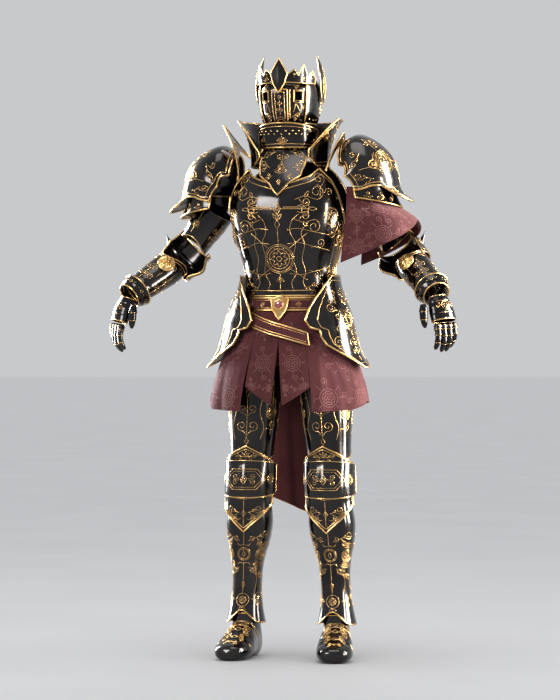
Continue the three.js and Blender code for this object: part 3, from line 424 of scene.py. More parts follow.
def wall_into(work, outer, inner, closed=False, keep=None, pole=False, uv=None):
    """Wall between two grids of points: outer face, inner face, and a rim wherever a cell ends it."""
    rows, across = outer.shape[:2]
    spans = across if closed else across - 1
    kept = np.ones((rows - 1, spans), bool) if keep is None else keep
    j, i = np.nonzero(kept)
    k = (i + 1) % across
    layer = rows * across
    corner = lambda jj, ii, deep: deep * layer + jj * across + ii
    quads = [np.stack([corner(j, i, 0), corner(j, k, 0), corner(j + 1, k, 0), corner(j + 1, i, 0)], -1),
             np.stack([corner(j, k, 1), corner(j, i, 1), corner(j + 1, i, 1), corner(j + 1, k, 1)], -1)]

    def missing(dj, di):
        jj, ii = j + dj, i + di
        if closed:
            ii = ii % spans
        ok = (jj >= 0) & (jj < rows - 1) & (ii >= 0) & (ii < spans)
        there = np.zeros(len(j), bool)
        there[ok] = kept[jj[ok], ii[ok]]
        return ~there

    below, above, left, right = missing(-1, 0), missing(1, 0), missing(0, -1), missing(0, 1)
    if pole:
        above &= j != rows - 2
    for pick, a, b in ((below, (j, k), (j, i)), (above, (j + 1, i), (j + 1, k)),
                       (left, (j, i), (j + 1, i)), (right, (j + 1, k), (j, k))):
        ja, ia, jb, ib = a[0][pick], a[1][pick], b[0][pick], b[1][pick]
        quads.append(np.stack([corner(ja, ia, 0), corner(jb, ib, 0), corner(jb, ib, 1),
                               corner(ja, ia, 1)], -1))
    both_uv = None if uv is None else np.vstack([uv.reshape(-1, 2)] * 2)
    work.add(np.vstack([outer.reshape(-1, 3), inner.reshape(-1, 3)]), np.vstack(quads), uv=both_uv)


def close_points(piece, apart=1e-6):
    """Merges the doubled points of poles and tips and points every face outwards."""
    import bmesh
    cut = bmesh.new()
    cut.from_mesh(piece.data)
    bmesh.ops.remove_doubles(cut, verts=cut.verts, dist=apart)
    bmesh.ops.dissolve_degenerate(cut, edges=cut.edges, dist=apart)
    bmesh.ops.recalc_face_normals(cut, faces=cut.faces)
    cut.to_mesh(piece.data)
    cut.free()
    return piece


def tube_into(work, path, normal, wide, high=None, closed=False, sides=6, taper=0.0):
    """Oval section carried along a path: point = path + across * wide * cos + normal * high * sin,
    shrinking to a tip within `taper` of each open end."""
    path = np.asarray(path, float)
    if closed and np.allclose(path[0], path[-1]):
        path, normal = path[:-1], normal[:-1]
    high = wide if high is None else high
    count = len(path)
    if closed:
        way = np.roll(path, -1, 0) - np.roll(path, 1, 0)
    else:
        way = np.gradient(path, axis=0)
    way = unit(way)
    across = unit(np.cross(way, normal))
    up = np.cross(across, way)
    size = np.ones(count)
    if taper and not closed:
        run = np.concatenate([[0.0], np.cumsum(np.linalg.norm(np.diff(path, axis=0), axis=1))])
        size = np.clip(np.minimum(run, run[-1] - run) / taper, 0.0, 1.0) ** 0.5 * 0.9 + 0.1
    turn = np.linspace(0, 2 * np.pi, sides, endpoint=False)
    wide = np.broadcast_to(wide, (count,)) * size
    high = np.broadcast_to(high, (count,)) * size
    ring = (path[:, None] + across[:, None] * (wide[:, None] * np.cos(turn))[..., None]
            + up[:, None] * (high[:, None] * np.sin(turn))[..., None])
    quads = grid_quads(count, sides, closed=True)
    if closed:
        last = np.stack([(count - 1) * sides + np.arange(sides),
                         (count - 1) * sides + (np.arange(sides) + 1) % sides,
                         (np.arange(sides) + 1) % sides, np.arange(sides)], -1)
        work.add(ring, np.vstack([quads, last])[:, ::-1])
        return
    caps = np.arange(sides)
    first, final = count * sides, count * sides + 1
    tris = np.vstack([np.stack([np.full(sides, first), caps, (caps + 1) % sides], -1),
                      np.stack([np.full(sides, final), (count - 1) * sides + (caps + 1) % sides,
                                (count - 1) * sides + caps], -1)])
    work.add(np.vstack([ring.reshape(-1, 3), path[:1], path[-1:]]), quads[:, ::-1], tris[:, ::-1])


def domes_into(work, centres, normals, radius, rise):
    """Round-headed studs: rings of a half ball, flattened to `rise`, on a face."""
    turn = np.linspace(0, 2 * np.pi, 8, endpoint=False)
    level = np.radians([0.0, 35.0, 65.0])
    for centre, normal in zip(centres, normals):
        helper = np.array([0.0, 0.0, 1.0]) if abs(normal[2]) < 0.9 else np.array([1.0, 0.0, 0.0])
        a = unit(np.cross(normal, helper))
        b = np.cross(normal, a)
        flat = a * np.cos(turn)[:, None] + b * np.sin(turn)[:, None]
        rings = [centre + flat * radius * math.cos(h) + normal * rise * math.sin(h) for h in level]
        points = np.vstack(rings + [[centre + normal * rise]])
        quads = grid_quads(3, 8, closed=True)
        tip = np.stack([16 + np.arange(8), 16 + (np.arange(8) + 1) % 8, np.full(8, 24)], -1)
        foot_points = centre - normal * 0.6 + flat * radius
        work.add(np.vstack([points, foot_points]), np.vstack([quads, np.stack([
            25 + np.arange(8), 25 + (np.arange(8) + 1) % 8, (np.arange(8) + 1) % 8, np.arange(8)], -1)]),
            np.vstack([tip, np.stack([np.full(6, 25), 25 + np.arange(2, 8), 25 + np.arange(1, 7)], -1)]))


# ------------------------------------------------------------------ finishes
def new_finish(name, **sockets):
    """Material with one Principled shader; each keyword is a socket's constant."""
    material = bpy.data.materials.new(name)
    material.use_nodes = True
    tree = material.node_tree
    shader = tree.nodes["Principled BSDF"]
    for socket, value in sockets.items():
        shader.inputs[socket.replace("_", " ")].default_value = value
    return material, tree, shader


def node(tree, kind, inputs=None, **settings):
    made = tree.nodes.new(kind)
    for key, value in settings.items():
        setattr(made, key, value)
    for key, value in (inputs or {}).items():
        if isinstance(value, bpy.types.NodeSocket):
            tree.links.new(value, made.inputs[key])
        else:
            made.inputs[key].default_value = value
    return made


def object_noise(tree, scale, detail=3.0, stretch=(1, 1, 1)):
    """Cloudy numbers fixed to the piece."""
    place = node(tree, "ShaderNodeTexCoord")
    mapping = node(tree, "ShaderNodeMapping", {"Vector": place.outputs["Object"], "Scale": stretch})
    noise = node(tree, "ShaderNodeTexNoise",
                 {"Vector": mapping.outputs["Vector"], "Scale": scale, "Detail": detail})
    return noise.outputs["Fac"]


def between(tree, value, low, high):
    """Number 0..1 spread to low..high."""
    return node(tree, "ShaderNodeMapRange", {"Value": value, "From Min": 0.3, "From Max": 0.7,
                                             "To Min": low, "To Max": high}).outputs["Result"]


def blend_colour(tree, factor, one, other):
    ramp = node(tree, "ShaderNodeValToRGB", {"Fac": factor})
    ramp.color_ramp.elements[0].position, ramp.color_ramp.elements[1].position = 0.32, 0.68
    ramp.color_ramp.elements[0].color, ramp.color_ramp.elements[1].color = (*one, 1), (*other, 1)
    return ramp.outputs["Color"]


def roughened(tree, shader, height, strength, distance):
    raised = node(tree, "ShaderNodeBump", {"Height": height, "Strength": strength, "Distance": distance})
    tree.links.new(raised.outputs["Normal"], shader.inputs["Normal"])


def black_enamel():
    """Mirror-black steel: dark metal under a thin coat, clouded polish, faint hammering, fine rubs."""
    material, tree, shader = new_finish("black_enamelled_steel", Metallic=1.0, Coat_Weight=0.35,
        Coat_Roughness=0.05, Coat_IOR=1.45)
    tree.links.new(blend_colour(tree, object_noise(tree, 7.0), (0.016, 0.0145, 0.014),
                                (0.042, 0.038, 0.036)),
                   shader.inputs["Base Color"])
    rubbed = node(tree, "ShaderNodeMath", {0: object_noise(tree, 9.0, 4.0),
                                           1: object_noise(tree, 160.0, 2.0, (1, 1, 0.12))},
                  operation="MULTIPLY")
    tree.links.new(node(tree, "ShaderNodeMapRange",
                        {"Value": rubbed.outputs[0], "From Min": 0.15, "From Max": 0.4,
                                                     "To Min": 0.11, "To Max": 0.26}).outputs["Result"],
                   shader.inputs["Roughness"])
    roughened(tree, shader, object_noise(tree, 16.0, 1.0), 0.22, 0.002)
    return material


def gilding():
    """Polished gilt metal, browner and duller in patches."""
    material, tree, shader = new_finish("polished_gilding", Metallic=1.0)
    cloud = object_noise(tree, 38.0, 4.0)
    tree.links.new(blend_colour(tree, cloud, (0.46, 0.25, 0.075), (0.80, 0.52, 0.22)),
                   shader.inputs["Base Color"])
    tree.links.new(between(tree, cloud, 0.34, 0.17), shader.inputs["Roughness"])
    roughened(tree, shader, object_noise(tree, 420.0, 2.0), 0.15, 0.0004)
    return material


def woven(name, dark, light, sheen=0.35, thread_mm=1.3):
    """Woven cloth: threads over and under in both directions of the cut, with uneven dye and nap.
    Height = sin(across) * sin(along), one turn for two threads."""
    material, tree, shader = new_finish(name, Roughness=0.88, Sheen_Weight=sheen, Sheen_Roughness=0.45,
                                        Sheen_Tint=(0.95, 0.62, 0.6, 1.0), Specular_IOR_Level=0.22)
    cut = node(tree, "ShaderNodeUVMap", uv_map="cut")
    parts = node(tree, "ShaderNodeSeparateXYZ", {0: cut.outputs["UV"]})
    pitch = math.pi / (thread_mm / 100.0)
    waves = []
    for way in ("X", "Y"):
        scaled = node(tree, "ShaderNodeMath", {0: parts.outputs[way], 1: pitch}, operation="MULTIPLY")
        waves.append(node(tree, "ShaderNodeMath", {0: scaled.outputs[0]}, operation="SINE").outputs[0])
    weave = node(tree, "ShaderNodeMath", {0: waves[0], 1: waves[1]}, operation="MULTIPLY").outputs[0]
    dye = node(tree, "ShaderNodeMath", {0: object_noise(tree, 11.0, 5.0),
        1: object_noise(tree, 300.0, 2.0)},
               operation="ADD").outputs[0]
    tone = node(tree, "ShaderNodeMath", {0: dye, 1: 0.5}, operation="MULTIPLY").outputs[0]
    tree.links.new(blend_colour(tree, tone, dark, light), shader.inputs["Base Color"])
    roughened(tree, shader, weave, 0.35, 0.0005)
    return material


def red_stone():
    """Dark red polished stone with clouds in it."""
    material, tree, shader = new_finish("red_stone", Roughness=0.12, IOR=1.6, Coat_Weight=0.8)
    tree.links.new(blend_colour(tree, object_noise(tree, 45.0), (0.10, 0.012, 0.018),
                                (0.26, 0.05, 0.055)),
                   shader.inputs["Base Color"])
    return material


def pale_floor():
    """Matt pale studio floor with a trace of mottling."""
    material, tree, shader = new_finish("studio_floor", Roughness=0.62)
    tree.links.new(blend_colour(tree, object_noise(tree, 1.4), (0.88, 0.88, 0.885), (0.92, 0.92, 0.925)),
                   shader.inputs["Base Color"])
    return material


BLACK = black_enamel()
GILT = gilding()
RED_CLOTH = woven("red_woven_cloth", (0.038, 0.0070, 0.0082), (0.070, 0.0160, 0.0178), sheen=0.12)
EMBROIDERY = woven("rose_thread", (0.098, 0.031, 0.031), (0.155, 0.057, 0.054), sheen=0.26,
                   thread_mm=0.7)
STONE = red_stone()


# ------------------------------------------------------------------ drawn motifs, mm, x + iy
def ring(r, steps=30):
    return [r * np.exp(1j * np.linspace(0, 2 * np.pi, steps + 1))]


def arc(r, first, last, steps=16):
    return [r * np.exp(1j * np.radians(np.linspace(first, last, steps)))]


def line(*corners):
    return [np.array(corners, dtype=complex)]


def tendril(length, heading=0.0, bend=420.0, tightening=2.0, steps=24):
    """A stem that coils: its heading turns by bend * s^tightening along its length."""
    s = np.linspace(0, 1, steps)
    way = np.exp(1j * np.radians(heading + bend * s**tightening))
    return [np.concatenate([[0], np.cumsum(way[:-1])]) * length / (steps - 1)]


def leaf(length, width, heading=0.0):
    """Closed pointed outline: half width = width / 2 * sin(pi s)."""
    s = np.linspace(0, 1, 10)
    side = width / 2 * np.sin(np.pi * s)
    outline = np.concatenate([length * s + 1j * side, (length * s - 1j * side)[::-1][1:]])
    return turned([outline], heading)


def rosette(r, petals=8):
    """Petals as one closed line: radius = r * (0.6 + 0.4 |cos(petals * angle / 2)|), with an eye."""
    a = np.linspace(0, 2 * np.pi, petals * 8 + 1)
    return [r * (0.6 + 0.4 * np.abs(np.cos(petals * a / 2))) * np.exp(1j * a)] + ring(r * 0.3, 16)


def star(r, points=6, waist=0.45):
    a = np.radians(90) + np.linspace(0, 2 * np.pi, 2 * points + 1)
    radius = np.where(np.arange(2 * points + 1) % 2 == 0, r, r * waist)
    return [radius * np.exp(1j * a)]


def diamond(width, height):
    return line(height * 0.5j, width * 0.5, -height * 0.5j, -width * 0.5, height * 0.5j)


def turned(strokes, degrees):
    return [s * np.exp(1j * np.radians(degrees)) for s in strokes]


def moved(strokes, x, y=0.0):
    return [s + x + 1j * y for s in strokes]


def mirrored(strokes):
    return [-np.conj(s) for s in strokes]


def flipped(strokes):
    return [np.conj(s) for s in strokes]


def paired(strokes):
    return strokes + mirrored(strokes)


def medallion(r, petals=8):
    """Two rings round a rosette, with short rays between the rings."""
    rays = [np.array([0.80, 0.93]) * r * np.exp(1j * a)
            for a in np.linspace(0, 2 * np.pi, 16, endpoint=False)]
    return ring(r, 40) + ring(r * 0.78, 36) + rosette(r * 0.62, petals) + rays


def curve(*knots, steps=7):
    """Smooth line through drawn places: a cubic between each two, heading at each from the one
    before it to the one after it."""
    k = np.array(knots, dtype=complex)
    slope = np.gradient(k)
    s = np.linspace(0, 1, steps, endpoint=False)
    parts = [(2 * s**3 - 3 * s**2 + 1) * a + (s**3 - 2 * s**2 + s) * m + (3 * s**2 - 2 * s**3) * b
             + (s**3 - s**2) * n
             for a, b, m, n in zip(k, k[1:], slope, slope[1:])]
    return [np.append(np.concatenate(parts), k[-1])]


def scroll(stem, radius, turns=1.35, sag=0.16):
    """A stem that sags sideways by sag * (1 - cos 2 pi s) / 2 of its length, then a coil of the given
    radius that shrinks to a fifth, radius * (1 - 0.8 s), and ends in a bead."""
    s = np.linspace(0, 1, 6)[:-1]
    stalk = stem * (s + 0.5j * sag * (1 - np.cos(2 * np.pi * s)))
    s = np.linspace(0, 1, 24)
    coil = stem + 1j * radius + radius * (1 - 0.8 * s) * np.exp(1j * (2 * np.pi * turns * s - np.pi / 2))
    return [np.concatenate([stalk, coil])]


def vine(length):
    """An open coil on a stem, a smaller one going back the other way from its foot, and a leaf."""
    fork = scroll(length * 0.3, length * 0.15, 1.2)
    return (scroll(length * 0.66, length * 0.23)
            + moved(turned(flipped(fork), -32), length * 0.14, length * 0.02)
            + moved(leaf(length * 0.22, length * 0.08, 58), length * 0.3, length * 0.06))


def branch(height, pairs=3, reach=22.0):
    """Upright stem with pairs of open coils, smaller towards the top, a leaf at the tip and a diamond
    at the foot."""
    tip = leaf(height * 0.16, height * 0.06, 90)
    strokes = line(0, 1j * height * 0.86) + moved(tip, 0, height * 0.84)
    for k in range(pairs):
        size = reach * (1.25 - 0.45 * k / pairs)
        strokes += paired(moved(turned(scroll(size * 0.8, size * 0.42, 1.2), 32), 0.6,
                                height * (0.05 + 0.78 * k / pairs)))
    return strokes + moved(diamond(reach * 0.4, reach * 0.7), 0, -reach * 0.35)


def spray(count, length, spread):
    """Leaves fanned about the upright."""
    return [s for a in np.linspace(90 - spread, 90 + spread, count)
            for s in leaf(length, length * 0.3, a)]


# ------------------------------------------------------------------ laying wire, thread and studs
def fine_steps(stroke, step=4.5):
    """The same stroke with a point at least every `step` mm, corners kept."""
    run = np.concatenate([[0.0], np.cumsum(np.abs(np.diff(stroke)))])
    if run[-1] < 1e-6 or np.max(np.diff(run)) <= step:
        return stroke
    at = np.unique(np.concatenate([run, np.linspace(0, run[-1], max(int(run[-1] / step), 2) + 1)]))
    return np.interp(at, run, stroke.real) + 1j * np.interp(at, run, stroke.imag)


def round_form(plate, angle, t, x, new_t):
    """Angle of the point x mm round the form from `angle`, by the length of the section there."""
    angles = angle + np.linspace(-150.0, 150.0, 301)
    p = plate.form.point(angles, np.full(301, float(t)))
    run = np.concatenate([[0.0], np.cumsum(np.linalg.norm(np.diff(p, axis=0), axis=1))])
    girth = lambda where: sum(column(plate.form.rows, name, where) for name in ("side", "front"))
    return np.interp(x * girth(np.float64(t)) / girth(new_t), run - run[150], angles)


def lay(work, plate, strokes, angle, t, wide=WIRE, high=WIRE_RISE, above=0.1, margin=4.5, taper=6.0,
        sides=4):
    """Lays drawn strokes on a plate about one of its places, as oval wire, cut off at its edges."""
    per_t = float(plate.unit_length(np.float64(angle), np.float64(t)))
    for stroke in strokes:
        s = fine_steps(stroke)
        new_t = t + s.imag / per_t
        new_angle = round_form(plate, angle, t, s.real, new_t)
        inside = plate.holds(new_angle, new_t, margin)
        closed = bool(abs(s[0] - s[-1]) < 1e-6 and inside.all())
        cuts = np.flatnonzero(np.diff(np.concatenate([[0], inside.astype(int), [0]])))
        for first, last in zip(cuts[::2], cuts[1::2]):
            if last - first >= 3:
                p, outward = plate.raised(new_angle[first:last], new_t[first:last], above)
                tube_into(work, p, outward, wide * FINE, high * FINE, closed=closed, sides=sides,
                          taper=0.0 if closed else taper)


def lay_pair(work, plate, strokes, off, t, *how, middle=0.0, mirror=True, **more):
    """Lays strokes so many degrees to one side of the middle and again to the other, there mirrored."""
    lay(work, plate, strokes, middle + off, t, *how, **more)
    lay(work, plate, mirrored(strokes) if mirror else strokes, middle - off, t, *how, **more)


def stud(work, plate, places, radius=2.6, rise=1.7):
    """Round-headed studs at [angle, t] places."""
    angle, t = np.array(places, dtype=float).T
    p, outward = plate.raised(angle, t)
    domes_into(work, p, outward, radius, rise)


def edge_line(plate, side, steps=120, stops=()):
    """Middle of the wall along one edge: low, high, start or end."""
    s = np.unique(np.concatenate([np.linspace(0, 1, steps), np.asarray(stops, float)]))
    if plate.closed:
        s = s[:-1]
    u, v = {"low": (s, 0 * s), "high": (s, 0 * s + 1), "start": (0 * s, s), "end": (0 * s + 1, s)}[side]
    p, outward = plate.at(u, v)
    return p - outward * plate.wall / 2, outward


def roll_edges(work, plate, radius=RIM, across=120, along=60, stops=(), steps=(), sides_open=()):
    """Rolled edge round a plate: two rings on a closed one, one loop round an open one."""
    if plate.closed:
        for side in ("low", "high"):
            if side not in sides_open:
                p, outward = edge_line(plate, side, across, stops)
                tube_into(work, p, outward, radius, radius, closed=True, sides=6)
        return
    loop, ways = [], []
    for side, back in (("low", False), ("end", False), ("high", True), ("start", True)):
        flat = side in ("low", "high")
        p, outward = edge_line(plate, side, across if flat else along, stops if flat else steps)
        loop.append(p[::-1][:-1] if back else p[:-1])
        ways.append(outward[::-1][:-1] if back else outward[:-1])
    tube_into(work, np.vstack(loop), np.vstack(ways), radius, radius, closed=True, sides=6)


def border(work, plate, inset_u, inset_v, wide=WIRE, high=WIRE_RISE, steps=64):
    """Raised line inside an open plate's edges, at fractions of its width and length; on a closed
    plate, two rings."""
    s = np.linspace(0, 1, steps)
    if plate.closed:
        for v in (inset_v, 1 - inset_v):
            p, outward = plate.at(s[:-1], np.full(steps - 1, v), 0.1)
            tube_into(work, p, outward, wide, high, closed=True, sides=5)
        return
    u0, u1, v0, v1 = inset_u, 1 - inset_u, inset_v, 1 - inset_v
    us = np.concatenate([u0 + (u1 - u0) * s[:-1], 0 * s[:-1] + u1, u1 - (u1 - u0) * s[:-1],
                         0 * s[:-1] + u0])
    vs = np.concatenate([0 * s[:-1] + v0, v0 + (v1 - v0) * s[:-1], 0 * s[:-1] + v1,
                         v1 - (v1 - v0) * s[:-1]])
    p, outward = plate.at(us, vs, 0.1)
    tube_into(work, p, outward, wide, high, closed=True, sides=5)


def dress(name, plate, across=48, along=30, body="harness", hand=1.0, rim=RIM, stops=(), steps=(),
          ornament=None, keep=None, pole=False, turn=None, finish=None, slot=STEEL_SLOT, trim=None,
          trim_slot=GOLD_SLOT, inward=None, extra=None, rolled=True, sides_open=()):
    """Shell of a plate in place of its solid, and one piece with its rolled edges and ornament."""
    across, along = round(across * GRID), round(along * GRID)
    u = np.unique(np.concatenate([np.linspace(0, 1, across + 1), np.asarray(stops, float)]))
    v = np.unique(np.concatenate([np.linspace(0, 1, along + 1), np.asarray(steps, float)]))
    cells = None
    if keep is not None:
        cells = keep(*plate.place(*np.meshgrid((u[:-1] + u[1:]) / 2, (v[:-1] + v[1:]) / 2)))
    if plate.closed:
        u = u[:-1]
    uu, vv = np.meshgrid(u, v)
    outer, outward = plate.at(uu, vv)
    inner = outer - outward * plate.wall
    if pole:
        inner[-1] = outer[-1] + np.asarray(inward) * plate.wall
    across_mm = np.concatenate([np.zeros((len(v), 1)),
                                np.cumsum(np.linalg.norm(np.diff(outer, axis=1), axis=2), 1)], 1)
    along_mm = np.concatenate([np.zeros((1, len(u))),
                               np.cumsum(np.linalg.norm(np.diff(outer, axis=0), axis=2), 0)], 0)
    shell = Work()
    wall_into(shell, outer, inner, plate.closed, cells, pole,
              np.stack([across_mm, along_mm], -1) / 100.0)
    piece = shell.make(f"{name}_shell", body, slot, finish or BLACK, hand, turn)
    piece.data.set_sharp_from_angle(angle=math.radians(50))
    if pole:
        close_points(piece)
    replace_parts(piece, name)
    gilt = Work()
    if rolled:
        roll_edges(gilt, plate, rim, across + 1, along + 1, stops, steps, sides_open)
    if ornament:
        ornament(gilt, plate)
    if extra:
        extra(gilt)
    if gilt.count:
        close_points(gilt.make(f"{name}_{'stitching' if trim else 'gilding'}", body, trim_slot,
                               trim or GILT, hand, turn))
    return piece


def fractions_of(keys, first, last):
    return [(key - first) / (last - first) for key in keys]


def corners_of(pairs, middle=0):
    """Keys of an outline's table, to both sides of a middle, where the outline has its corners."""
    return sorted({middle + s * a for a, _ in pairs for s in (-1, 1)})


def both_sides(build):
    for word, side in HANDS.items():
        build(word, side)


# ------------------------------------------------------------------ head
FACE_HALF, CHIN_HEIGHT, BROW, FACE_TOP, HEAD_TOP = 50.0, 1637.0, 1762.0, 1766.0, 1797.0
EYE_ANGLE, EYE_HEIGHT, EYE_WIDE, EYE_TALL = 34.0, 1718.0, 28.0, 30.0
EYE_HALF = math.degrees(EYE_WIDE / 2 / 116.0)


def off_front(angle):
    """Degrees from the front, 0 to 180."""
    return np.abs((np.asarray(angle) + 180.0) % 360.0 - 180.0)


def skull_ridge(angle, z):
    """Low keel over the crown of the head, from brow to nape."""
    fade = np.clip((z - 1640) / 60, 0, 1) * np.clip((1792 - z) / 20, 0, 1)
    return 2.5 * (bump(off_front(angle), 0, 7) + bump(off_front(angle), 180, 7)) * fade


skull = Plate(head, -180, 180, CHIN_HEIGHT, HEAD_TOP, lift=skull_ridge, closed=True, calm=1794.0)


def skull_ornament(work, plate):
    for side in (1, -1):
        lay(work, plate, branch(84, 3, 15), side * 96, 1668)
        lay(work, plate, vine(46), side * 128, 1690)
    lay(work, plate, branch(92, 3, 16), 180, 1662)
    for side in (1, -1):
        p, outward = plate.raised(np.full(60, side * FACE_HALF), np.linspace(CHIN_HEIGHT, BROW, 60))
        tube_into(work, p - outward, outward, RIM, RIM, sides=8, taper=3)
    stud(work, plate, [(a, 1650) for a in (62, 74, 86, -62, -74, -86, 150, 165, 180, 195, 210)])


def skull_frame(work):
    p, outward = skull.at(np.linspace(0, 1, 140), np.zeros(140))
    angle = np.linspace(-180, 180, 140)
    around = np.roll(np.arange(140), 70)
    keep_back = np.abs((angle[around] + 180) % 360 - 180) > FACE_HALF
    tube_into(work, (p - outward)[around][keep_back], outward[around][keep_back], RIM, RIM, sides=8,
              taper=3)


dress("helm_skull", skull, 72, 36, pole=True, inward=(0, 0, -1.0), rolled=False, ornament=skull_ornament,
      extra=skull_frame,
      stops=fractions_of((-FACE_HALF, FACE_HALF), -180, 180),
      steps=fractions_of((BROW,), CHIN_HEIGHT, HEAD_TOP),
      keep=lambda angle, z: ~((off_front(angle) < FACE_HALF) & (z < BROW)))


def face_lift(angle, z):
    """The face lies inside the skull's opening, with a brow ridge and a hollowed cheek."""
    brow = 1.6 * bump(z, 1741, 9) * bump(np.abs(angle), 30, 22)
    cheek = -1.4 * bump(z, 1683, 16) * bump(np.abs(angle), 30, 12)
    return -4.6 - 0.12 * np.maximum(z - 1738, 0) + brow + cheek


face = Plate(head, -54, 54, 1638, FACE_TOP, lift=face_lift)
eye_lines = [s * EYE_ANGLE + d * EYE_HALF for s in (-1, 1) for d in (-1, 1)]


def face_ornament(work, plate):
    frame_line = line(-17 - 18j, -17 + 17j, 17 + 17j, 17 - 18j, 6 - 21j, -6 - 21j, -17 - 18j)
    inner_line = line(-14 - 15j, -14 + 14j, 14 + 14j, 14 - 15j, -14 - 15j)
    lay_pair(work, plate, frame_line, EYE_ANGLE, EYE_HEIGHT, 2.1, 1.9, mirror=False, margin=1)
    lay_pair(work, plate, inner_line, EYE_ANGLE, EYE_HEIGHT, 1.2, 1.4, mirror=False, margin=1)
    cheek = line(0, 13 - 27j) + line(0, -11 - 30j) + line(13 - 27j, 16 - 33j)
    lay_pair(work, plate, cheek, 30, 1695, 1.5, 1.5, margin=1)
    lay_pair(work, plate, vine(32), 20, 1654, 1.2, 0.9, margin=1)
    lay_pair(work, plate, turned(scroll(12, 6), 90), 46, 1672, 1.2, 0.9, mirror=False, margin=1)
    lay_pair(work, plate, vine(24), 24, 1748, 1.0, 0.8, margin=1)
    for side in (1, -1):
        p, outward = plate.raised(np.full(40, side * 16.0), np.linspace(1644, 1738, 40), 0.3)
        tube_into(work, p, outward, 1.6, 1.4, sides=6, taper=3)


dress("face_plate", face, 96, 90, rolled=False, ornament=face_ornament,
      stops=fractions_of(eye_lines, -54, 54),
      steps=fractions_of((EYE_HEIGHT - EYE_TALL / 2, EYE_HEIGHT + EYE_TALL / 2), 1638, FACE_TOP),
      keep=lambda angle, z: ~((np.abs(np.abs(angle)
          - EYE_ANGLE) < EYE_HALF) & (np.abs(z - EYE_HEIGHT) < EYE_TALL / 2)))

NOSE_HALF = 11.5


def nose_ornament(work, plate):
    border(work, plate, 0.2, 0.08, 1.0, 1.0)
    lay(work, plate, branch(52, 2, 8), 0, 1668, 0.9, 0.8, margin=5)
    lay(work, plate, ring(4.5, 18), 0, 1714, 1.0, 0.9, margin=3)


dress("nose_guard", Plate(head, -NOSE_HALF, NOSE_HALF,
                          lambda a: 1645 + 5 * np.cos(a / NOSE_HALF * np.pi), 1735,
                          lift=lambda a, z: 7 + 1.5 * bump(a, 0, 3.5), wall=4.0),
      20, 36, ornament=nose_ornament, rim=2.3)


def kite(name, outline, depth_front, depth_back, lean, ridge, finish, gilt_radius, slot=STEEL_SLOT):
    """Ridged kite: outline in x, z with a raised middle line, made as fans to the two ridge ends.
    The ridge is given by its top, its foot and how far it stands out."""
    x, z = np.array(outline, dtype=float).T
    y = lean(x, z)
    count = len(x)
    front = np.stack([x, y + depth_front, z], -1)
    back = np.stack([x, y + depth_back, z], -1)
    top, foot, rise = ridge
    half_way = 0.5 * (top + foot)
    work = Work()
    i = np.arange(count)
    k = (i + 1) % count
    upper = np.array([[0, lean(0, top) + rise, top], [0, lean(0, foot) + rise, foot],
                      [0, lean(0, half_way) + depth_back, half_way]])
    high_side = 0.5 * (z[i] + z[k]) > half_way
    pick = np.where(high_side, 2 * count, 2 * count + 1)
    tris = np.stack([pick, i, k], -1)
    across = np.flatnonzero(high_side != np.roll(high_side, 1))
    joins = np.stack([np.full(len(across), 2 * count), np.full(len(across), 2 * count + 1), across], -1)
    joins[::2] = joins[::2][:, [1, 0, 2]]
    rear = np.stack([np.full(count, 2 * count + 2), count + k, count + i], -1)
    sides = np.stack([i, count + i, count + k, k], -1)
    work.add(np.vstack([front, back, upper]), sides, np.vstack([tris, joins, rear]))
    piece = close_points(work.make(f"{name}_shell", "harness", slot, finish, smooth=False))
    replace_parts(piece, name)
    gilt = Work()
    loop = np.vstack([np.linspace(front[a], front[b], 6)[:-1] for a, b in zip(i, k)])
    tube_into(gilt, loop, np.tile(AHEAD, (len(loop), 1)), gilt_radius, gilt_radius, closed=True, sides=8)
    return gilt


crest_lean = lambda x, z: -139.5 + (z - 1725) * 0.04
crest_gilt = kite("crest_plate", [(0, 1831), (26, 1784), (17, 1752), (0, 1725), (-17, 1752),
                                  (-26, 1784)],
                  -1.5, 2.5, crest_lean, (1806, 1752, -8.0), BLACK, 2.1)
for height, half in ((1812, 9.0), (1805, 12.5), (1798, 16.0)):
    bar = np.stack([np.linspace(-half, half, 9),
                    crest_lean(0, height) - 4.0 + 2.6 * np.abs(np.linspace(-1, 1, 9)),
                    height - 3.0 * (1 - np.abs(np.linspace(-1, 1, 9)))], -1)
    tube_into(crest_gilt, bar, np.tile(AHEAD, (9, 1)), 1.3, 1.6, sides=6, taper=3)
close_points(crest_gilt.make("crest_plate_gilding", "harness", GOLD_SLOT, GILT))

CROWN_EDGE = [[0, 1786], [12, 1780], [24, 1798], [31, 1778], [40, 1815], [50, 1776], [60, 1796],
              [68, 1772]]
crown_corners = corners_of(CROWN_EDGE)


def crown_ornament(work, plate):
    for angle in (24, 40, 60):
        for side in (1, -1):
            lay(work, plate, diamond(5, 11) + line(0 - 7j, 0 - 13j), side * angle, 1783, 0.9, 0.8,
                margin=2.5)
    for side in (1, -1):
        lay(work, plate, vine(24), side * 32, 1764, 0.9, 0.8, margin=2)


dress("crown_band", Plate(crown, -68, 68, 1757, lambda a: edge(CROWN_EDGE, np.abs(a))), 90, 14, rim=2.1,
      stops=fractions_of(crown_corners, -68, 68), ornament=crown_ornament)

HORN = table("at x y z wide thick",
             (0, 102, 6, 1700, 0.4, 0.4), (1, 102, 6, 1716, 17, 3.5), (2, 102.5, 6, 1742, 29, 4.5),
             (3, 101, 5, 1770, 32, 6),
             (4, 97, 4, 1798, 28, 6.5), (5, 91, 1, 1826, 16, 4.5), (6, 84, -2, 1850, 0.4, 0.4))


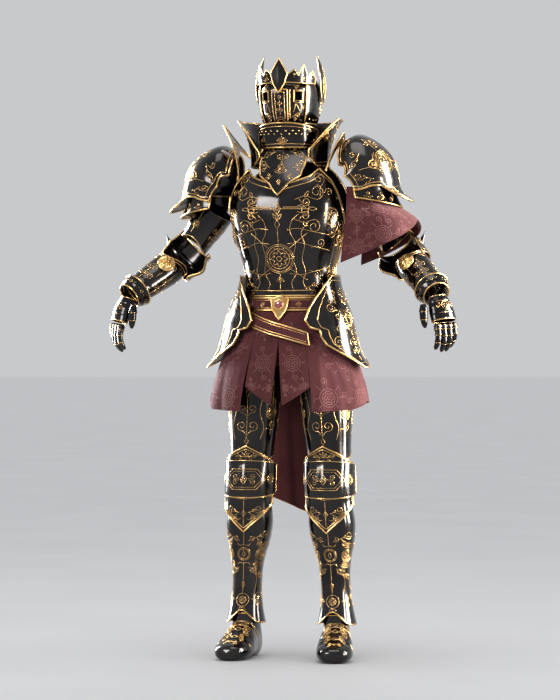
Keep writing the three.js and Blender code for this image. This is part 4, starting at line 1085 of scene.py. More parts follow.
def horn(word, side):
    """Curved blade: a section with two sharp edges carried up its line; half width and half thickness
    come from the table, and the section is wide * cos, thick * sin|sin|^0.3."""
    t = np.linspace(0, 6, 49)
    a = np.linspace(0, 2 * np.pi, 20, endpoint=False)
    centre = np.stack([column(HORN, c, t) for c in "xyz"], -1)
    wide, thick = column(HORN, "wide", t), column(HORN, "thick", t)
    way = unit(np.array([1.0, 0.0, 0.2]))
    ring_points = (centre[:, None] + np.array([0.0, 1.0, 0.0]) * (wide[:, None] * np.cos(a))[..., None]
                   + way * (thick[:, None] * np.sin(a) * np.abs(np.sin(a)) ** 0.3)[..., None])
    work = Work()
    base = len(t) * 20
    caps = np.arange(20)
    tris = np.vstack([np.stack([np.full(20, base), caps, (caps + 1) % 20], -1),
                      np.stack([np.full(20, base + 1), base - 20 + (caps + 1) % 20, base - 20 + caps],
                               -1)])
    work.add(np.vstack([ring_points.reshape(-1, 3), centre[:1], centre[-1:]]),
             grid_quads(len(t), 20, True)[:, ::-1], tris[:, ::-1])
    piece = close_points(work.make(f"horn_{word}_shell", "harness", STEEL_SLOT, BLACK, side))
    piece.data.set_sharp_from_angle(angle=math.radians(55))
    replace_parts(piece, f"horn_{word}")
    gilt = Work()
    for edge_side in (1, -1):
        spine = centre + np.array([0.0, 1.0, 0.0]) * (edge_side * wide)[:, None]
        tube_into(gilt, spine, np.tile(way, (len(t), 1)), 1.7, 1.7, sides=6, taper=10)
    face_line = centre + way * (thick * 1.02)[:, None]
    for shift, first, last in ((0.0, 8, 40), (0.45, 12, 30), (-0.45, 12, 30)):
        path = (face_line + np.array([0.0, 1.0, 0.0]) * (shift * wide)[:, None] - way
                * (thick * 0.12 * abs(shift))[:, None])[first:last]
        tube_into(gilt, path, np.tile(way, (len(path), 1)), 1.0, 1.0, sides=5, taper=8)
    close_points(gilt.make(f"horn_{word}_gilding", "harness", GOLD_SLOT, GILT, side))


both_sides(horn)


# ------------------------------------------------------------------ neck
def bevor_ornament(work, plate):
    border(work, plate, 0.035, 0.14)
    stud(work, plate, [(a, 1612) for a in range(-54, 55, 12)], 2.8, 2.0)
    stud(work, plate, [(a, 1603) for a in range(-48, 49, 12)], 2.2, 1.6)
    for side in (1, -1):
        lay(work, plate, vine(40), side * 58, 1580, 1.0)
    lay(work, plate, spray(5, 20, 62) + ring(6, 16), 0, 1576, 1.1)


dress("bevor", Plate(chin, -78, 78, 1563, lambda a: 1636 - 22 * np.abs(a / 78) ** 2, lift=lambda a,
                     z: 2.2 * bump(a, 0, 7)),
      72, 24, ornament=bevor_ornament)


def collar_span(angle):
    return np.minimum(angle - 38, 322 - angle)


def collar_ornament(work, plate):
    border(work, plate, 0.02, 0.1)
    for angle in (70, 100, 132, 228, 260, 290):
        lay(work, plate, medallion(15, 6), angle, 1600, 1.0, 0.8)
    for off in (-96, -64, -32):
        lay_pair(work, plate, vine(44), off, 1578, 1.0, 0.8, middle=180)
        lay_pair(work, plate, flipped(vine(36)), off, 1632, 1.0, 0.8, middle=180)
    lay(work, plate, branch(78, 3, 18), 180, 1566)


COLLAR_FOOT = [[0, 1532], [14, 1508], [85, 1508], [99, 1550], [142, 1552]]
dress("collar", Plate(collar_form, 38, 322, lambda a: edge(COLLAR_FOOT, collar_span(a)),
                      lambda a: 1552 + 98 * np.minimum(collar_span(a) / 42, 1)),
      110, 30, ornament=collar_ornament, rim=3.0,
      stops=fractions_of((52, 80, 98, 123, 137, 223, 237, 262, 280, 308), 38, 322))

NECK_EDGE = [[0, 1414], [8, 1450], [21, 1477], [23, 1492], [35, 1532], [50, 1538]]


def neck_ornament(work, plate):
    lay(work, plate, arc(13, 200, 340) + arc(19, 205, 335) + arc(25, 210, 330) + star(6, 8)
        + ring(9, 20), 0, 1503)
    lay(work, plate, branch(34, 1, 17), 0, 1520)
    lay(work, plate, diamond(12, 22) + ring(3, 12), 0, 1455)
    lay_pair(work, plate, turned(vine(46), 12), 12, 1500)
    lay_pair(work, plate, flipped(vine(46)), 10, 1550)
    lay_pair(work, plate, turned(scroll(16, 8), 50), 30, 1520)
    lay_pair(work, plate, turned(flipped(vine(34)), -20), 6, 1474)
    stud(work, plate, [(a, 1561) for a in range(-40, 41, 10)], 2.4, 1.6)


neck_corners = corners_of(NECK_EDGE)
dress("neck_plate", Plate(neck, -50, 50, lambda a: edge(NECK_EDGE, np.abs(a)), 1571, lift=0.8), 72, 40,
      stops=fractions_of(neck_corners, -50, 50), ornament=neck_ornament, rim=3.2)

# ------------------------------------------------------------------ trunk
FRONT_TOP = [[0, 1444], [30, 1472], [48, 1498], [60, 1464], [72, 1384], [87, 1318]]
BACK_TOP = [[0, 1534], [40, 1522], [56, 1490], [72, 1392], [87, 1320]]


def breast_lift(angle, z):
    """Keel down the middle, a raised panel over each side of the chest and a nipped waist line."""
    keel = 3.0 * bump(angle, 0, 4.5) * np.clip((1440 - z) / 60, 0, 1)
    chest = 2.6 * bump(np.abs(angle), 34, 24) * bump(z, 1385, 55)
    step = -1.6 * bump(z, 1172, 5)
    return keel + chest + step


def breast_ornament(work, plate):
    lay(work, plate, medallion(40, 8), 0, 1222, 1.7, 1.2)
    lay(work, plate, ring(45, 48), 0, 1222, 1.1, 1.0)
    lay(work, plate, line(46j, 92j) + moved(diamond(15, 28), 0, 107) + moved(spray(3, 24, 34), 0, 120),
        0, 1222, 1.3)
    lay(work, plate, line(-46j, -100j) + moved(flipped(spray(3, 18, 40)), 0, -58), 0, 1222, 1.3)
    upright_lines = (curve(44 + 10j, 52 + 48j, 38 + 84j, 44 + 118j, 66 + 140j)
                     + curve(44 - 10j, 50 - 44j, 34 - 76j, 42 - 104j)
                     + curve(82 - 100j, 68 - 74j, 78 - 42j, 70, 80 + 44j, 72 + 82j, 96 + 116j))
    lay(work, plate, paired(upright_lines), 0, 1222, 1.2)
    for z, sag in ((38, 12), (-38, -12), (84, 10)):
        lay(work, plate, paired(curve(26 + 1j * (z + sag * 0.6), 64 + 1j * (z + sag), 110 + 1j * z,
            170 + 1j * (z - sag))), 0, 1222, 1.2)
    coils = moved(scroll(26, 13), 60, 8) + moved(flipped(scroll(26, 13)), 60, -8)
    band = line(10, 96) + line(16 + 5j, 84 + 5j) + moved(leaf(24, 10), 96) + coils
    lay(work, plate, paired(band), 0, 1372, 1.5, 1.1)
    lay(work, plate, ring(6, 16) + diamond(24, 36), 0, 1372, 1.5, 1.1)
    lay(work, plate, paired(line(31 + 31j, 92 + 82j) + line(31 - 31j, 84 - 68j)), 0, 1222, 1.3)
    lay_pair(work, plate, vine(104), 13, 1400, 1.3, 1.1)
    lay_pair(work, plate, turned(vine(84), 68), 40, 1408, 1.3, 1.1)
    lay_pair(work, plate, star(19, 8, 0.4) + ring(22, 30) + ring(26, 34) + ring(7, 14), 55, 1352, 1.3,
             mirror=False)
    lay_pair(work, plate, turned(vine(78), -72), 66, 1326, 1.2)
    lay_pair(work, plate, flipped(vine(92)), 14, 1340, 1.3)
    lay_pair(work, plate, flipped(turned(vine(70), -58)), 60, 1296, 1.2)
    lay_pair(work, plate, vine(70), 30, 1134, 1.2)
    lay_pair(work, plate, scroll(30, 15), 34, 1256, 1.2)
    lay_pair(work, plate, flipped(scroll(30, 15)), 34, 1188, 1.2)
    lay_pair(work, plate, turned(vine(60), 78), 72, 1146, 1.2)
    lay_pair(work, plate, line(0, 10 + 60j, 0 + 118j), 68, 1170, 1.2)
    border(work, plate, 0.035, 0.045, 1.3)


dress("breastplate", Plate(torso, -87, 87, 1110, lambda a: edge(FRONT_TOP, np.abs(a)), lift=breast_lift),
      110, 70,
      stops=fractions_of(corners_of(FRONT_TOP), -87, 87), ornament=breast_ornament, rim=3.4)


def back_lift(angle, z):
    """Hollow down the spine between two rounded shoulder blades."""
    blades = 3.0 * bump(off_front(angle), 148, 14) * bump(z, 1400, 60)
    return (-2.5 * bump(angle, 180, 6) + blades) * np.clip((1500 - z) / 60, 0, 1)


def back_ornament(work, plate):
    lay(work, plate, branch(250, 5, 36), 180, 1160, 1.5, 1.1)
    lay(work, plate, medallion(34, 8), 180, 1448, 1.5)
    lay_pair(work, plate, vine(104), 24, 1330, 1.4, middle=180)
    lay_pair(work, plate, turned(vine(90), 50), 30, 1390, 1.4, middle=180)
    lay_pair(work, plate, star(18, 8, 0.4) + ring(20, 26), 52, 1400, 1.3, middle=180, mirror=False)
    lay_pair(work, plate, flipped(vine(90)), 26, 1290, 1.4, middle=180)
    lay_pair(work, plate, vine(66), 30, 1160, 1.3, middle=180)
    lay_pair(work, plate, ring(12) + diamond(12, 16), 62, 1220, 1.2, middle=180, mirror=False)
    border(work, plate, 0.035, 0.045, 1.4)


dress("backplate", Plate(torso, 93, 267, 1110, lambda a: edge(BACK_TOP, np.abs(a - 180)),
                         lift=back_lift), 110, 70,
      stops=fractions_of(corners_of(BACK_TOP, 180), 93, 267), ornament=back_ornament, rim=3.0)


def side_clasp(word, side):
    """Gilt scroll clasp: a ring with a coil each way along the side seam."""
    work = Work()
    plate = Plate(torso, 60, 100, 1230, 1340, lift=5.0)
    lay(work, plate, ring(11, 32), 74, 1286, 3.4, 3.4, above=0, margin=-20, sides=10)
    lay(work, plate, moved(tendril(38, 80, 430, 1.8), 0, 11)
        + moved(tendril(38, -80, -430, 1.8), 0, -11), 74, 1286, 2.2, 2.0,
        above=-3, margin=-20, sides=8)
    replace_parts(close_points(work.make(f"side_clasp_{word}_scroll", "harness", GOLD_SLOT, GILT, side)), f"side_clasp_{word}")


both_sides(side_clasp)

# ------------------------------------------------------------------ shoulders
CAP_EDGE = [[0, 6], [22, 5.7], [50, 4.75], [70, 4.85], [97, 5.5]]


def cap_ornament(work, plate):
    lay_pair(work, plate, medallion(28, 8) + ring(33, 40), 30, 3.2, 1.4, 1.1, mirror=False)
    rays = line(34j, 90j) + line(-34j, -96j) + curve(34, 62 + 6j, 96) + curve(-34, -52 + 6j, -70)
    lay_pair(work, plate, rays, 30, 3.2, 1.2, mirror=False)
    rim_arcs = arc(40, 20, 70) + arc(40, 110, 160) + arc(40, 200, 250) + arc(40, 290, 340)
    lay_pair(work, plate, rim_arcs, 30, 3.2, 1.1, mirror=False)
    lay_pair(work, plate, turned(scroll(40, 17), 40), 42, 2.5, 1.2)
    lay_pair(work, plate, turned(flipped(scroll(40, 17)), -40), 42, 4.0, 1.2)
    lay_pair(work, plate, vine(72), 56, 1.9, 1.2)
    lay_pair(work, plate, flipped(vine(66)), 60, 4.3, 1.2)
    lay_pair(work, plate, turned(vine(60), 90), 26, 1.5, 1.2)
    lay_pair(work, plate, flipped(vine(56)), 12, 5.2, 1.2)
    lay_pair(work, plate, curve(-40, 10 + 5j, 70), 26, 4.75, 1.2, mirror=False)
    lay(work, plate, line(-60j, 60j) + star(12, 8), 0, 3.6, 1.3)
    border(work, plate, 0.04, 0.05, 1.4)


def pauldron(word, side):
    raise_mm = LEFT_SHOULDER_RAISE if side > 0 else 0.0
    corners = fractions_of(corners_of(CAP_EDGE), -97, 97)
    fluted = lambda a, t: 1.8 * bump(a, 0, 4) - 1.5 * bump(t, 5.35 - 0.012 * np.abs(a), 0.10)
    dress(f"pauldron_{word}", Plate(over_shoulder(SHOULDER_CAP, raise_mm), -97, 97, 0,
        lambda a: edge(CAP_EDGE, np.abs(a)), lift=fluted),
          84, 70, hand=side, stops=corners, ornament=cap_ornament, rim=3.4)
    dress(f"pauldron_lame_{word}", Plate(over_shoulder(SHOULDER_LAME, raise_mm), -92, 92, 0,
        lambda a: 2 - 0.5 * np.abs(a / 92),
                                        lift=4 if side > 0 else 0), 72, 20, hand=side, rim=2.6,
          ornament=lambda work, plate: [lay_pair(work, plate, vine(36), a, 1.25, 1.1)
              for a in (14, 38, 62)])


both_sides(pauldron)


def neck_guard(name, side, tip, raised):
    """Upright guard: a sheet between a base line and a top line that rises to a tip, leaning out."""
    base_line = [[0, 1462], [0.3, 1536], [0.6, 1566], [1, 1540]]
    top_line = [[0, 1476], [0.34, tip], [0.7, 1536 + (tip - 1536) * 0.42], [1, 1548]]

    def point(u, v):
        base, top = edge(base_line, u), edge(top_line, u)
        z = base + (top - base) * v
        lean = 0.0018 * np.maximum(z - 1455, 0) ** 2
        return stacked(146 + lean - 7 * (2 * u - 1) ** 2, (-108 + 216 * u) * (1 - 0.12 * v), z + raised)

    sheet = Sheet(point, 3.0)

    def vines(work, plate):
        for u, v, size in ((0.3, 0.25, 20), (0.42, 0.45, 17), (0.55, 0.4, 14)):
            for stroke in vine(size * 1.6) + ring(size * 0.35, 18):
                s = fine_steps(stroke, 2.0)
                uu, vv = u + s.real / 216.0, v + s.imag / max(tip - 1540.0, 30.0)
                ok = (uu > 0.12) & (uu < 0.85) & (vv > 0.12) & (vv < 0.86)
                if ok.sum() > 4 and ok.all():
                    for face_side in (1, -1):
                        p, outward = plate.at(uu, vv, 0.1)
                        q = p if face_side > 0 else p - outward * 3.4
                        tube_into(work, q, outward, 1.1, 0.8, sides=5, taper=4)

    dress(name, sheet, 60, 24, hand=side, rim=3.0, stops=(0.3, 0.34, 0.6, 0.7), ornament=vines)


neck_guard("neck_guard_right", -1.0, 1638.0, 0.0)
neck_guard("neck_guard_left", 1.0, 1584.0, LEFT_SHOULDER_RAISE)


# ------------------------------------------------------------------ arms
def rerebrace_ornament(work, plate):
    lay(work, plate, line(-50j, 50j) + star(9, 8) + ring(12, 20), 20, 160, 1.2)
    for angle in (64, 116, 180, 244, 296):
        lay(work, plate, branch(76, 2, 18), angle, 126, 1.0, 0.9)


def couter_lift(angle, t):
    """The elbow's wing stands out at the inner back edge."""
    return 24 * bump(angle, 296, 24) * bump(t, 4,
        30) + 2.5 * bump(t, 0, 6) * np.clip((296 - angle) / 60, 0, 1)


def couter_ornament(work, plate):
    lay(work, plate, medallion(20, 6), 180, 0, 1.2)
    for angle in (270, 92):
        lay(work, plate, ring(14, 26) + star(11, 6) + moved(scroll(18, 9), 18)
            + moved(mirrored(scroll(18, 9)), -18), angle, 2, 1.1)
    for angle in (130, 225):
        lay(work, plate, diamond(12, 18) + ring(3, 12), angle, 0, 1.1)
        lay(work, plate, line(10j, 34j) + line(-10j, -34j), angle, 0, 1.1)
    for reach in (9, 17, 25, 33):
        lay(work, plate, arc(reach, 90, 270), 293, 4, 1.1)
    border(work, plate, 0.04, 0.1, 1.2)


def elbow_spike(word, side):
    """Cone with a hollow curve to its point, at the outer edge of the elbow."""
    root = elbow_cap.point(np.float64(92), np.float64(4)) + np.array([5.0, 4.0, 12.0])
    way = np.array([math.sin(SPIKE_LEAN), 0.0, math.cos(SPIKE_LEAN)])
    half = SPIKE_LENGTH / 2
    h = np.linspace(-half, half, 18)
    radius = SPIKE_FOOT * ((half - h) / SPIKE_LENGTH) ** 1.15 + 0.25
    spike = Work()
    tube_into(spike, root + way * h[:, None], np.tile([0.0, 1.0, 0.0], (18, 1)), radius, radius,
              sides=12)
    close_points(spike.make(f"couter_{word}_spike", "harness", STEEL_SLOT, BLACK, side))


def forearm_ornament(work, plate):
    border(work, plate, 0, 0.07, 1.2)
    for angle in (0, 45, 90, 135, 180, 225, 270, 315):
        strokes = branch(96, 2, 17) if angle % 90 == 0 else moved(scroll(12, 10), 0,
            30) + mirrored(moved(flipped(scroll(12, 10)), 0, -34))
        lay(work, plate, strokes + (line(-44j, 26j) if angle % 90 else []), angle,
            112 if angle % 90 == 0 else 128, 1.0, 0.9)
    lay(work, plate, ring(9) + diamond(9, 12), 90, 92, 1.1)


DISC = 26.0         # radius of the medal at the elbow
DISC_PLACE = np.float64(-30), np.float64(98)
SPIKE_LENGTH, SPIKE_FOOT, SPIKE_LEAN = 40.0, 11.0, 0.35


def elbow_medal(word, side, body):
    """Round medal that stands off the forearm, domed in eight flutes, with a rolled edge."""
    medal = Work()
    centre = forearm.point(*DISC_PLACE)
    way = forearm.outward(*DISC_PLACE, 0.7)
    helper = unit(np.cross(way, [0.0, 0.0, 1.0]))
    other = np.cross(way, helper)
    rho, a = np.meshgrid(np.linspace(0.02, 1, 22), np.linspace(0, 2 * np.pi, 64, endpoint=False),
                         indexing="ij")
    height = (5 + 9.0 * np.clip(1 - rho**2.4, 0, 1) * (0.82 + 0.18 * np.abs(np.cos(4 * a)))
              - 2.0 * bump(rho, 0.62, 0.05) + 1.5 * bump(rho, 0.9, 0.05))
    flat = helper * (DISC * rho * np.cos(a))[..., None] + other * (DISC * rho * np.sin(a))[..., None]
    top = centre + way * height[..., None] + flat
    under = centre + way * 4.5 + flat
    top[0], under[0] = top[0].mean(0), under[0].mean(0)
    wall_into(medal, top, under, closed=True, pole=False)
    edge_a = np.linspace(0, 2 * np.pi, 48, endpoint=False)
    circle = helper * np.cos(edge_a)[:, None] + other * np.sin(edge_a)[:, None]
    loop = centre + way * 6 + (DISC - 1) * circle
    tube_into(medal, loop, np.tile(way, (48, 1)), 2.2, 2.2, closed=True, sides=8)
    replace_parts(close_points(medal.make(f"couter_disc_{word}_medal", body, GOLD_SLOT, GILT, side)), f"couter_disc_{word}")


def arm(word, side):
    body = f"lower_arm_{word}"
    dress(f"rerebrace_{word}", Plate(upper_arm, -180, 180, 97, lambda a: 235 - 34 * bump(a, 0, 58),
        closed=True,
                                     lift=lambda a, t: 1.5 * bump(a, 100, 8) - 1.4 * bump(t, 196, 3)),
          56, 34, hand=side, ornament=rerebrace_ornament, rim=2.5, sides_open=("low",))
    dress(f"couter_{word}", Plate(elbow_cap, 64, 296, -50, 50, lift=couter_lift), 72, 34, hand=side,
          ornament=couter_ornament, rim=2.6)
    elbow_spike(word, side)
    dress(f"vambrace_{word}", Plate(forearm, -180, 180, lambda a: 38 + 34 * bump(a, 0, 58), 212,
        closed=True,
                                    lift=lambda a, t: 1.6 * bump(a, 90, 8) - 1.4 * bump(t, 190, 3)),
          56, 44, body=body, hand=side, ornament=forearm_ornament, rim=2.6)
    cuff_plate = Plate(cuff, 0, 360, -38, -2, closed=True, lift=lambda a, t: 1.5 * bump(t, -20, 5))
    dress(f"gauntlet_cuff_{word}", cuff_plate, 48, 16, body=body, hand=side, rim=2.6,
          ornament=lambda work, plate: [lay(work, plate,
              diamond(8, 12) + line(-9 + 0j, -18) + line(9 + 0j, 18), a, -21, 1.0, 0.8)
                                        for a in range(0, 360, 60)])
    elbow_medal(word, side, body)


both_sides(arm)

# ------------------------------------------------------------------ hands
hand_way = unit(FINGERTIPS - WRIST)
back_way = unit(BACK_OF_HAND - hand_way * np.dot(BACK_OF_HAND, hand_way))
thumb_way = np.cross(hand_way, back_way)
FINGERS = table("place reach curl", (30, 0.94, 0.85), (10, 1.04, 0.95), (-10, 1.0, 1.1),
                (-29, 0.84, 1.2))
FINGER_BENDS = table("at dip radius", (94, 0, 9.5), (108, 1, 11), (130, 6, 9.5), (148, 18, 9),
                     (160, 34, 7), (165, 42, 3))
THUMB = table("at out dip radius", (28, 59, 2, 9), (40, 60, 3, 12.5), (56, 62, 6, 13), (82, 62, 14, 10),
              (95, 59, 20, 4))


def in_hand(along, to_thumb, to_back):
    """Place in the hand: along the fingers, towards the thumb, towards the back of the hand."""
    along, to_thumb, to_back = np.broadcast_arrays(
        *(np.asarray(n, float) for n in (along, to_thumb, to_back)))
    return WRIST + hand_way * along[...,
        None] + thumb_way * to_thumb[..., None] + back_way * to_back[..., None]


def lames(s, count, depth):
    """Saw of overlapping plates: each swells by `depth` towards its lower edge."""
    part = (s * count) % 1.0
    return 1.0 + depth * (part**2 - 0.35)


def gauntlet(word, side):
    body = f"lower_arm_{word}"
    hand_plate = Plate(hand_form, 0, 360, 8, 84, closed=True,
                       lift=lambda a, t: 1.2 * ((np.clip(t - 8, 0, 76) / 19.0) % 1.0) ** 2
                       * (off_front(a) < 100))
    dress(f"gauntlet_hand_{word}", hand_plate, 48, 40, body=body, hand=side, rim=1.9,
          ornament=lambda work, plate: (lay(work, plate, star(10, 6) + ring(13, 24), 0, 44, 1.0, 0.8,
              margin=3),
                                        lay(work, plate, paired(moved(vine(22), 12, 0)), 0, 40, 0.9, 0.7,
                            margin=3),
                                        [lay(work, plate, line(-26, 26), 0, t, 1.0, 0.7, margin=3)
                            for t in (27, 65)]))
    shells, gilt = Work(), Work()
    s = np.linspace(0, 1, 46)
    for place, reach, curl in zip(*(FINGERS[c] for c in ("place", "reach", "curl"))):
        at = 94 + 71 * s
        path = in_hand(92 + (at - 92) * reach, place * (1 + (at - 92) * 0.0015),
                       2 - column(FINGER_BENDS, "dip", at) * curl)
        radius = column(FINGER_BENDS, "radius", at) * lames(s, 4.0, 0.16)
        tube_into(shells, path, np.tile(back_way, (46, 1)), radius, radius * 0.95, sides=14)
        for k in (11, 22, 34):
            turn = np.linspace(0, 2 * np.pi, 20, endpoint=False)
            way = unit(path[k + 1] - path[k - 1])
            up = unit(np.cross(way, thumb_way))
            loop = path[k] + thumb_way * (radius[k] * 1.03
                * np.cos(turn))[:, None] + up * (radius[k] * 0.99 * np.sin(turn))[:, None]
            tube_into(gilt, loop, np.tile(way, (20, 1)), 0.8, 0.8, closed=True, sides=5)
    place = np.linspace(-38, 38, 40)
    knuckle = in_hand(101, place, 2)
    swell = 8.2 + 2.2 * np.abs(np.cos(np.pi * (place - 10) / 20)) ** 2
    tube_into(shells, knuckle, np.tile(back_way, (40, 1)), swell, swell * 1.05, sides=14)
    for centre_at in (30, 10, -10, -29):
        domes_into(gilt, [in_hand(101, centre_at, 11.5)], [back_way], 4.0, 3.0)
    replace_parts(close_points(shells.make(f"gauntlet_fingers_{word}_shell", body, STEEL_SLOT, BLACK, side)), f"gauntlet_fingers_{word}")
    thumb = Work()
    at = 28 + 67 * s
    path = in_hand(at, column(THUMB, "out", at), -column(THUMB, "dip", at))
    radius = column(THUMB, "radius", at) * lames(s, 3.0, 0.14)
    tube_into(thumb, path, np.tile(back_way, (46, 1)), radius, radius, sides=16)
    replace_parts(close_points(thumb.make(f"gauntlet_thumb_{word}_shell", body, STEEL_SLOT, BLACK, side)), f"gauntlet_thumb_{word}")
    for k in (15, 30):
        turn = np.linspace(0, 2 * np.pi, 20, endpoint=False)
        way = unit(path[k + 1] - path[k - 1])
        across = unit(np.cross(way, back_way))
        loop = path[k] + across * (radius[k] * 1.02
            * np.cos(turn))[:, None] + np.cross(across, way) * (radius[k] * 1.02 * np.sin(turn))[:, None]
        tube_into(gilt, loop, np.tile(way, (20, 1)), 0.8, 0.8, closed=True, sides=5)
    close_points(gilt.make(f"gauntlet_fingers_{word}_gilding", body, GOLD_SLOT, GILT, side))


both_sides(gauntlet)

# ------------------------------------------------------------------ cloth
SKIRT_TOP = 1061.0
FOLDS = table("at depth width",
              (-128, 9, 9), (-96, -7, 10), (-62, 6, 8), (41, -5, 7), (74, 8, 10), (112, -8, 9),
              (138, 7, 8),
              (168, -8, 9), (194, 9, 8))
# Softer creases between the folds: place at the hem, how far they lean, where they start and end.
CREASES = table("at lean top bottom depth width",
                (-140, 0.03, 1010, 740, 3.0, 4.0), (-112, -0.02, 960, 740, -2.6, 3.5),
                (-80, 0.02, 1040, 740, 2.4, 4.0),
                (-47, -0.03, 990, 740, -2.8, 3.2), (-34, 0.02, 940, 740, 1.8, 2.4),
                (-15, 0.01, 960, 760, -1.6, 2.6),
                (-7, -0.01, 1000, 760, 1.6, 2.0), (9, 0.01, 980, 760, 1.8, 2.4),
                (17, -0.01, 930, 760, -1.5, 2.2),
                (31, 0.02, 1000, 740, 2.4, 3.0), (55, -0.04, 970, 740, -3.0, 4.0),
                (64, 0.03, 1030, 740, 2.2, 3.4),
                (90, 0.02, 1000, 740, -3.2, 4.0), (101, -0.03, 950, 740, 2.6, 3.6),
                (125, 0.02, 1020, 740, -2.8, 4.0),
                (146, -0.02, 990, 740, 2.6, 3.4), (159, 0.01, 930, 430, 3.5, 2.6),
                (176, -0.01, 860, 430, 3.0, 3.0),
                (186, 0.01, 960, 430, -3.4, 3.2), (202, -0.01, 900, 430, 3.0, 2.6))
SLEEVE_FOLDS = table("at depth width", (62, 5, 12), (30, -4, 10), (-40, 5, 12), (-76, -5, 11))
SLEEVE_CREASES = table("at lean top bottom depth width",
                       (84, 0.02, 60, 260, 2.6, 6.0), (46, -0.03, 80, 260, 2.2, 5.0),
                       (16, 0.02, 40, 160, -1.8, 5.0),
                       (-22, 0.02, 50, 180, 2.0, 5.0), (-58, -0.02, 60, 240, -2.4, 5.0),
                       (-92, 0.02, 80, 260, 2.2, 5.0))


def sum_of_bumps(rows, angle, spread):
    total = 0.0
    for at, depth, width in zip(rows["at"], rows["depth"], rows["width"]):
        total = total + spread * depth * bump(angle, at, width)
    return total


def creases(rows, angle, t):
    """Soft troughs and ridges: depth * bell across * smooth rise from where the crease starts."""
    total = 0.0
    for at, lean, top, bottom, depth, width in zip(
        *(rows[c] for c in ("at", "lean", "top", "bottom", "depth", "width"))):
        fall = np.clip((t - top) / (bottom - top), 0, 1)
        total = total + depth * fall**0.7 * bump(angle, at + lean * (t - bottom),
            width * (0.6 + 0.5 * fall))
    return total


def skirt_fold(angle, z):
    spread = np.clip((1000 - z) / 230, 0, 1)
    return sum_of_bumps(FOLDS, angle, spread) + creases(CREASES, angle,
        z) * np.clip((z - 400) / 30, 0, 1)


def sleeve_fold(angle, t):
    return sum_of_bumps(SLEEVE_FOLDS, angle, t / 150) + creases(SLEEVE_CREASES, angle, t)


def gap_at(z, wide):
    return wide * np.clip((980 - z) / 210, 0, 1)


def rose(r):
    """Cloth motif: rosette inside two rings, with four long rays and four open coils round it."""
    rays = [np.array([1.08, 1.9]) * r * np.exp(1j * a) for a in np.radians([45, 135, 225, 315])]
    coils = [s for a in (0, 90, 180, 270) for s in turned(moved(scroll(r * 0.8, r * 0.36), r * 1.02), a)]
    return ring(r, 36) + ring(r * 0.72, 30) + rosette(r * 0.55, 6) + rays + coils


def stitch(work, plate, strokes, angle, t, margin=5.0):
    lay(work, plate, strokes, angle, t, STITCH, 0.3, above=0.1, margin=margin, taper=2.0, sides=4)


PLAIN_CLOTH = dict(finish=RED_CLOTH, slot=CLOTH_SLOT, rolled=False)
STITCHED = dict(PLAIN_CLOTH, trim=EMBROIDERY, trim_slot=CLOTH_SLOT)


def skirt_stitching(places):
    def ornament(work, plate):
        for angle, z, size in places:
            stitch(work, plate, rose(size), angle, z)
    return ornament


def panel(name, start, end, low, roses, flat, area, stops=(), across=40, along=44, hung="belt_shell"):
    """One cut panel of the skirt, hung from the belt, with its stitched roses."""
    piece = dress(name, Plate(skirt, start, end, low, SKIRT_TOP, lift=skirt_fold, wall=CLOTH), across,
                  along,
                  stops=stops, ornament=skirt_stitching(roses), **STITCHED)
    return piece


SIDE_HEM = [[24, 757], [60, 764], [90, 790], [120, 776], [152, 764]]


# ------------------------------------------------------------------ waist
BELT_LIFT = 5.0


def belt():
    plate = Plate(torso, -180, 180, 1064, 1105, lift=BELT_LIFT, wall=3.0, closed=True)
    piece = dress("belt", plate, 110, 8, **PLAIN_CLOTH)
    rails = Work()
    for v in (0.04, 0.96):
        p, outward = plate.at(np.linspace(0, 1, 160)[:-1], np.full(159, v))
        tube_into(rails, p, outward, 3.0, 3.0, closed=True, sides=8)
    for v in (0.2, 0.8):
        p, outward = plate.at(np.linspace(0, 1, 160)[:-1], np.full(159, v), 0.2)
        tube_into(rails, p, outward, 1.0, 0.8, closed=True, sides=5)
    for angle in range(0, 360, 20):
        a = (angle + 180) % 360 - 180
        if abs(a) > 14:
            lay(rails, plate, diamond(16, 15) + ring(3, 12), a, 1084, 1.1, 0.9, margin=1)
    close_points(rails.make("belt_gilding", "harness", GOLD_SLOT, GILT))


belt()


def buckle():
    """Belt plate: gilt ridged kite with a framed red stone."""
    outline = [(-27, 1100), (0, 1108), (27, 1100), (22, 1068), (0, 1036), (-22, 1068)]
    lean = lambda x, z: -132 - (1100 - z) * 0.12 + np.abs(x) * 0.12
    gilt = kite("belt_plate", outline, 0.0, 5.0, lean, (1090, 1076, -6.0), GILT, 2.6, GOLD_SLOT)
    a = np.linspace(0, 2 * np.pi, 6, endpoint=False) + np.radians(30)
    loop = np.stack([15 * np.cos(a), lean(0, 1083) - 4.0 + 0 * a, 1083 + 15 * np.sin(a)], -1)
    loop = np.vstack([np.linspace(loop[k], loop[(k + 1) % 6], 6)[:-1] for k in range(6)])
    tube_into(gilt, loop, np.tile(AHEAD, (len(loop), 1)), 2.2, 2.2, closed=True, sides=8)
    close_points(gilt.make("belt_plate_gilding", "harness", GOLD_SLOT, GILT))
    stone = Work()
    rho, turn = np.meshgrid(np.linspace(0.0, 1, 9), np.linspace(0, 2 * np.pi, 24, endpoint=False),
                            indexing="ij")
    face_points = np.stack([13.5 * rho * np.cos(turn),
                            lean(0, 1083) - 3.0 - 6.5 * np.sqrt(np.clip(1 - rho**2.2, 0, 1)),
                            1083 + 13.5 * rho * np.sin(turn)], -1)
    back_points = face_points.copy()
    back_points[..., 1] = lean(0, 1083) - 1.5
    wall_into(stone, face_points, back_points, closed=True)
    close_points(stone.make("belt_plate_stone", "harness", GOLD_SLOT, STONE))


buckle()
STRAP_START, STRAP_END, STRAP_TOP_START, STRAP_TOP_END, STRAP_WIDE = -34.0, 27.0, 1056.0, 993.0, 36.0


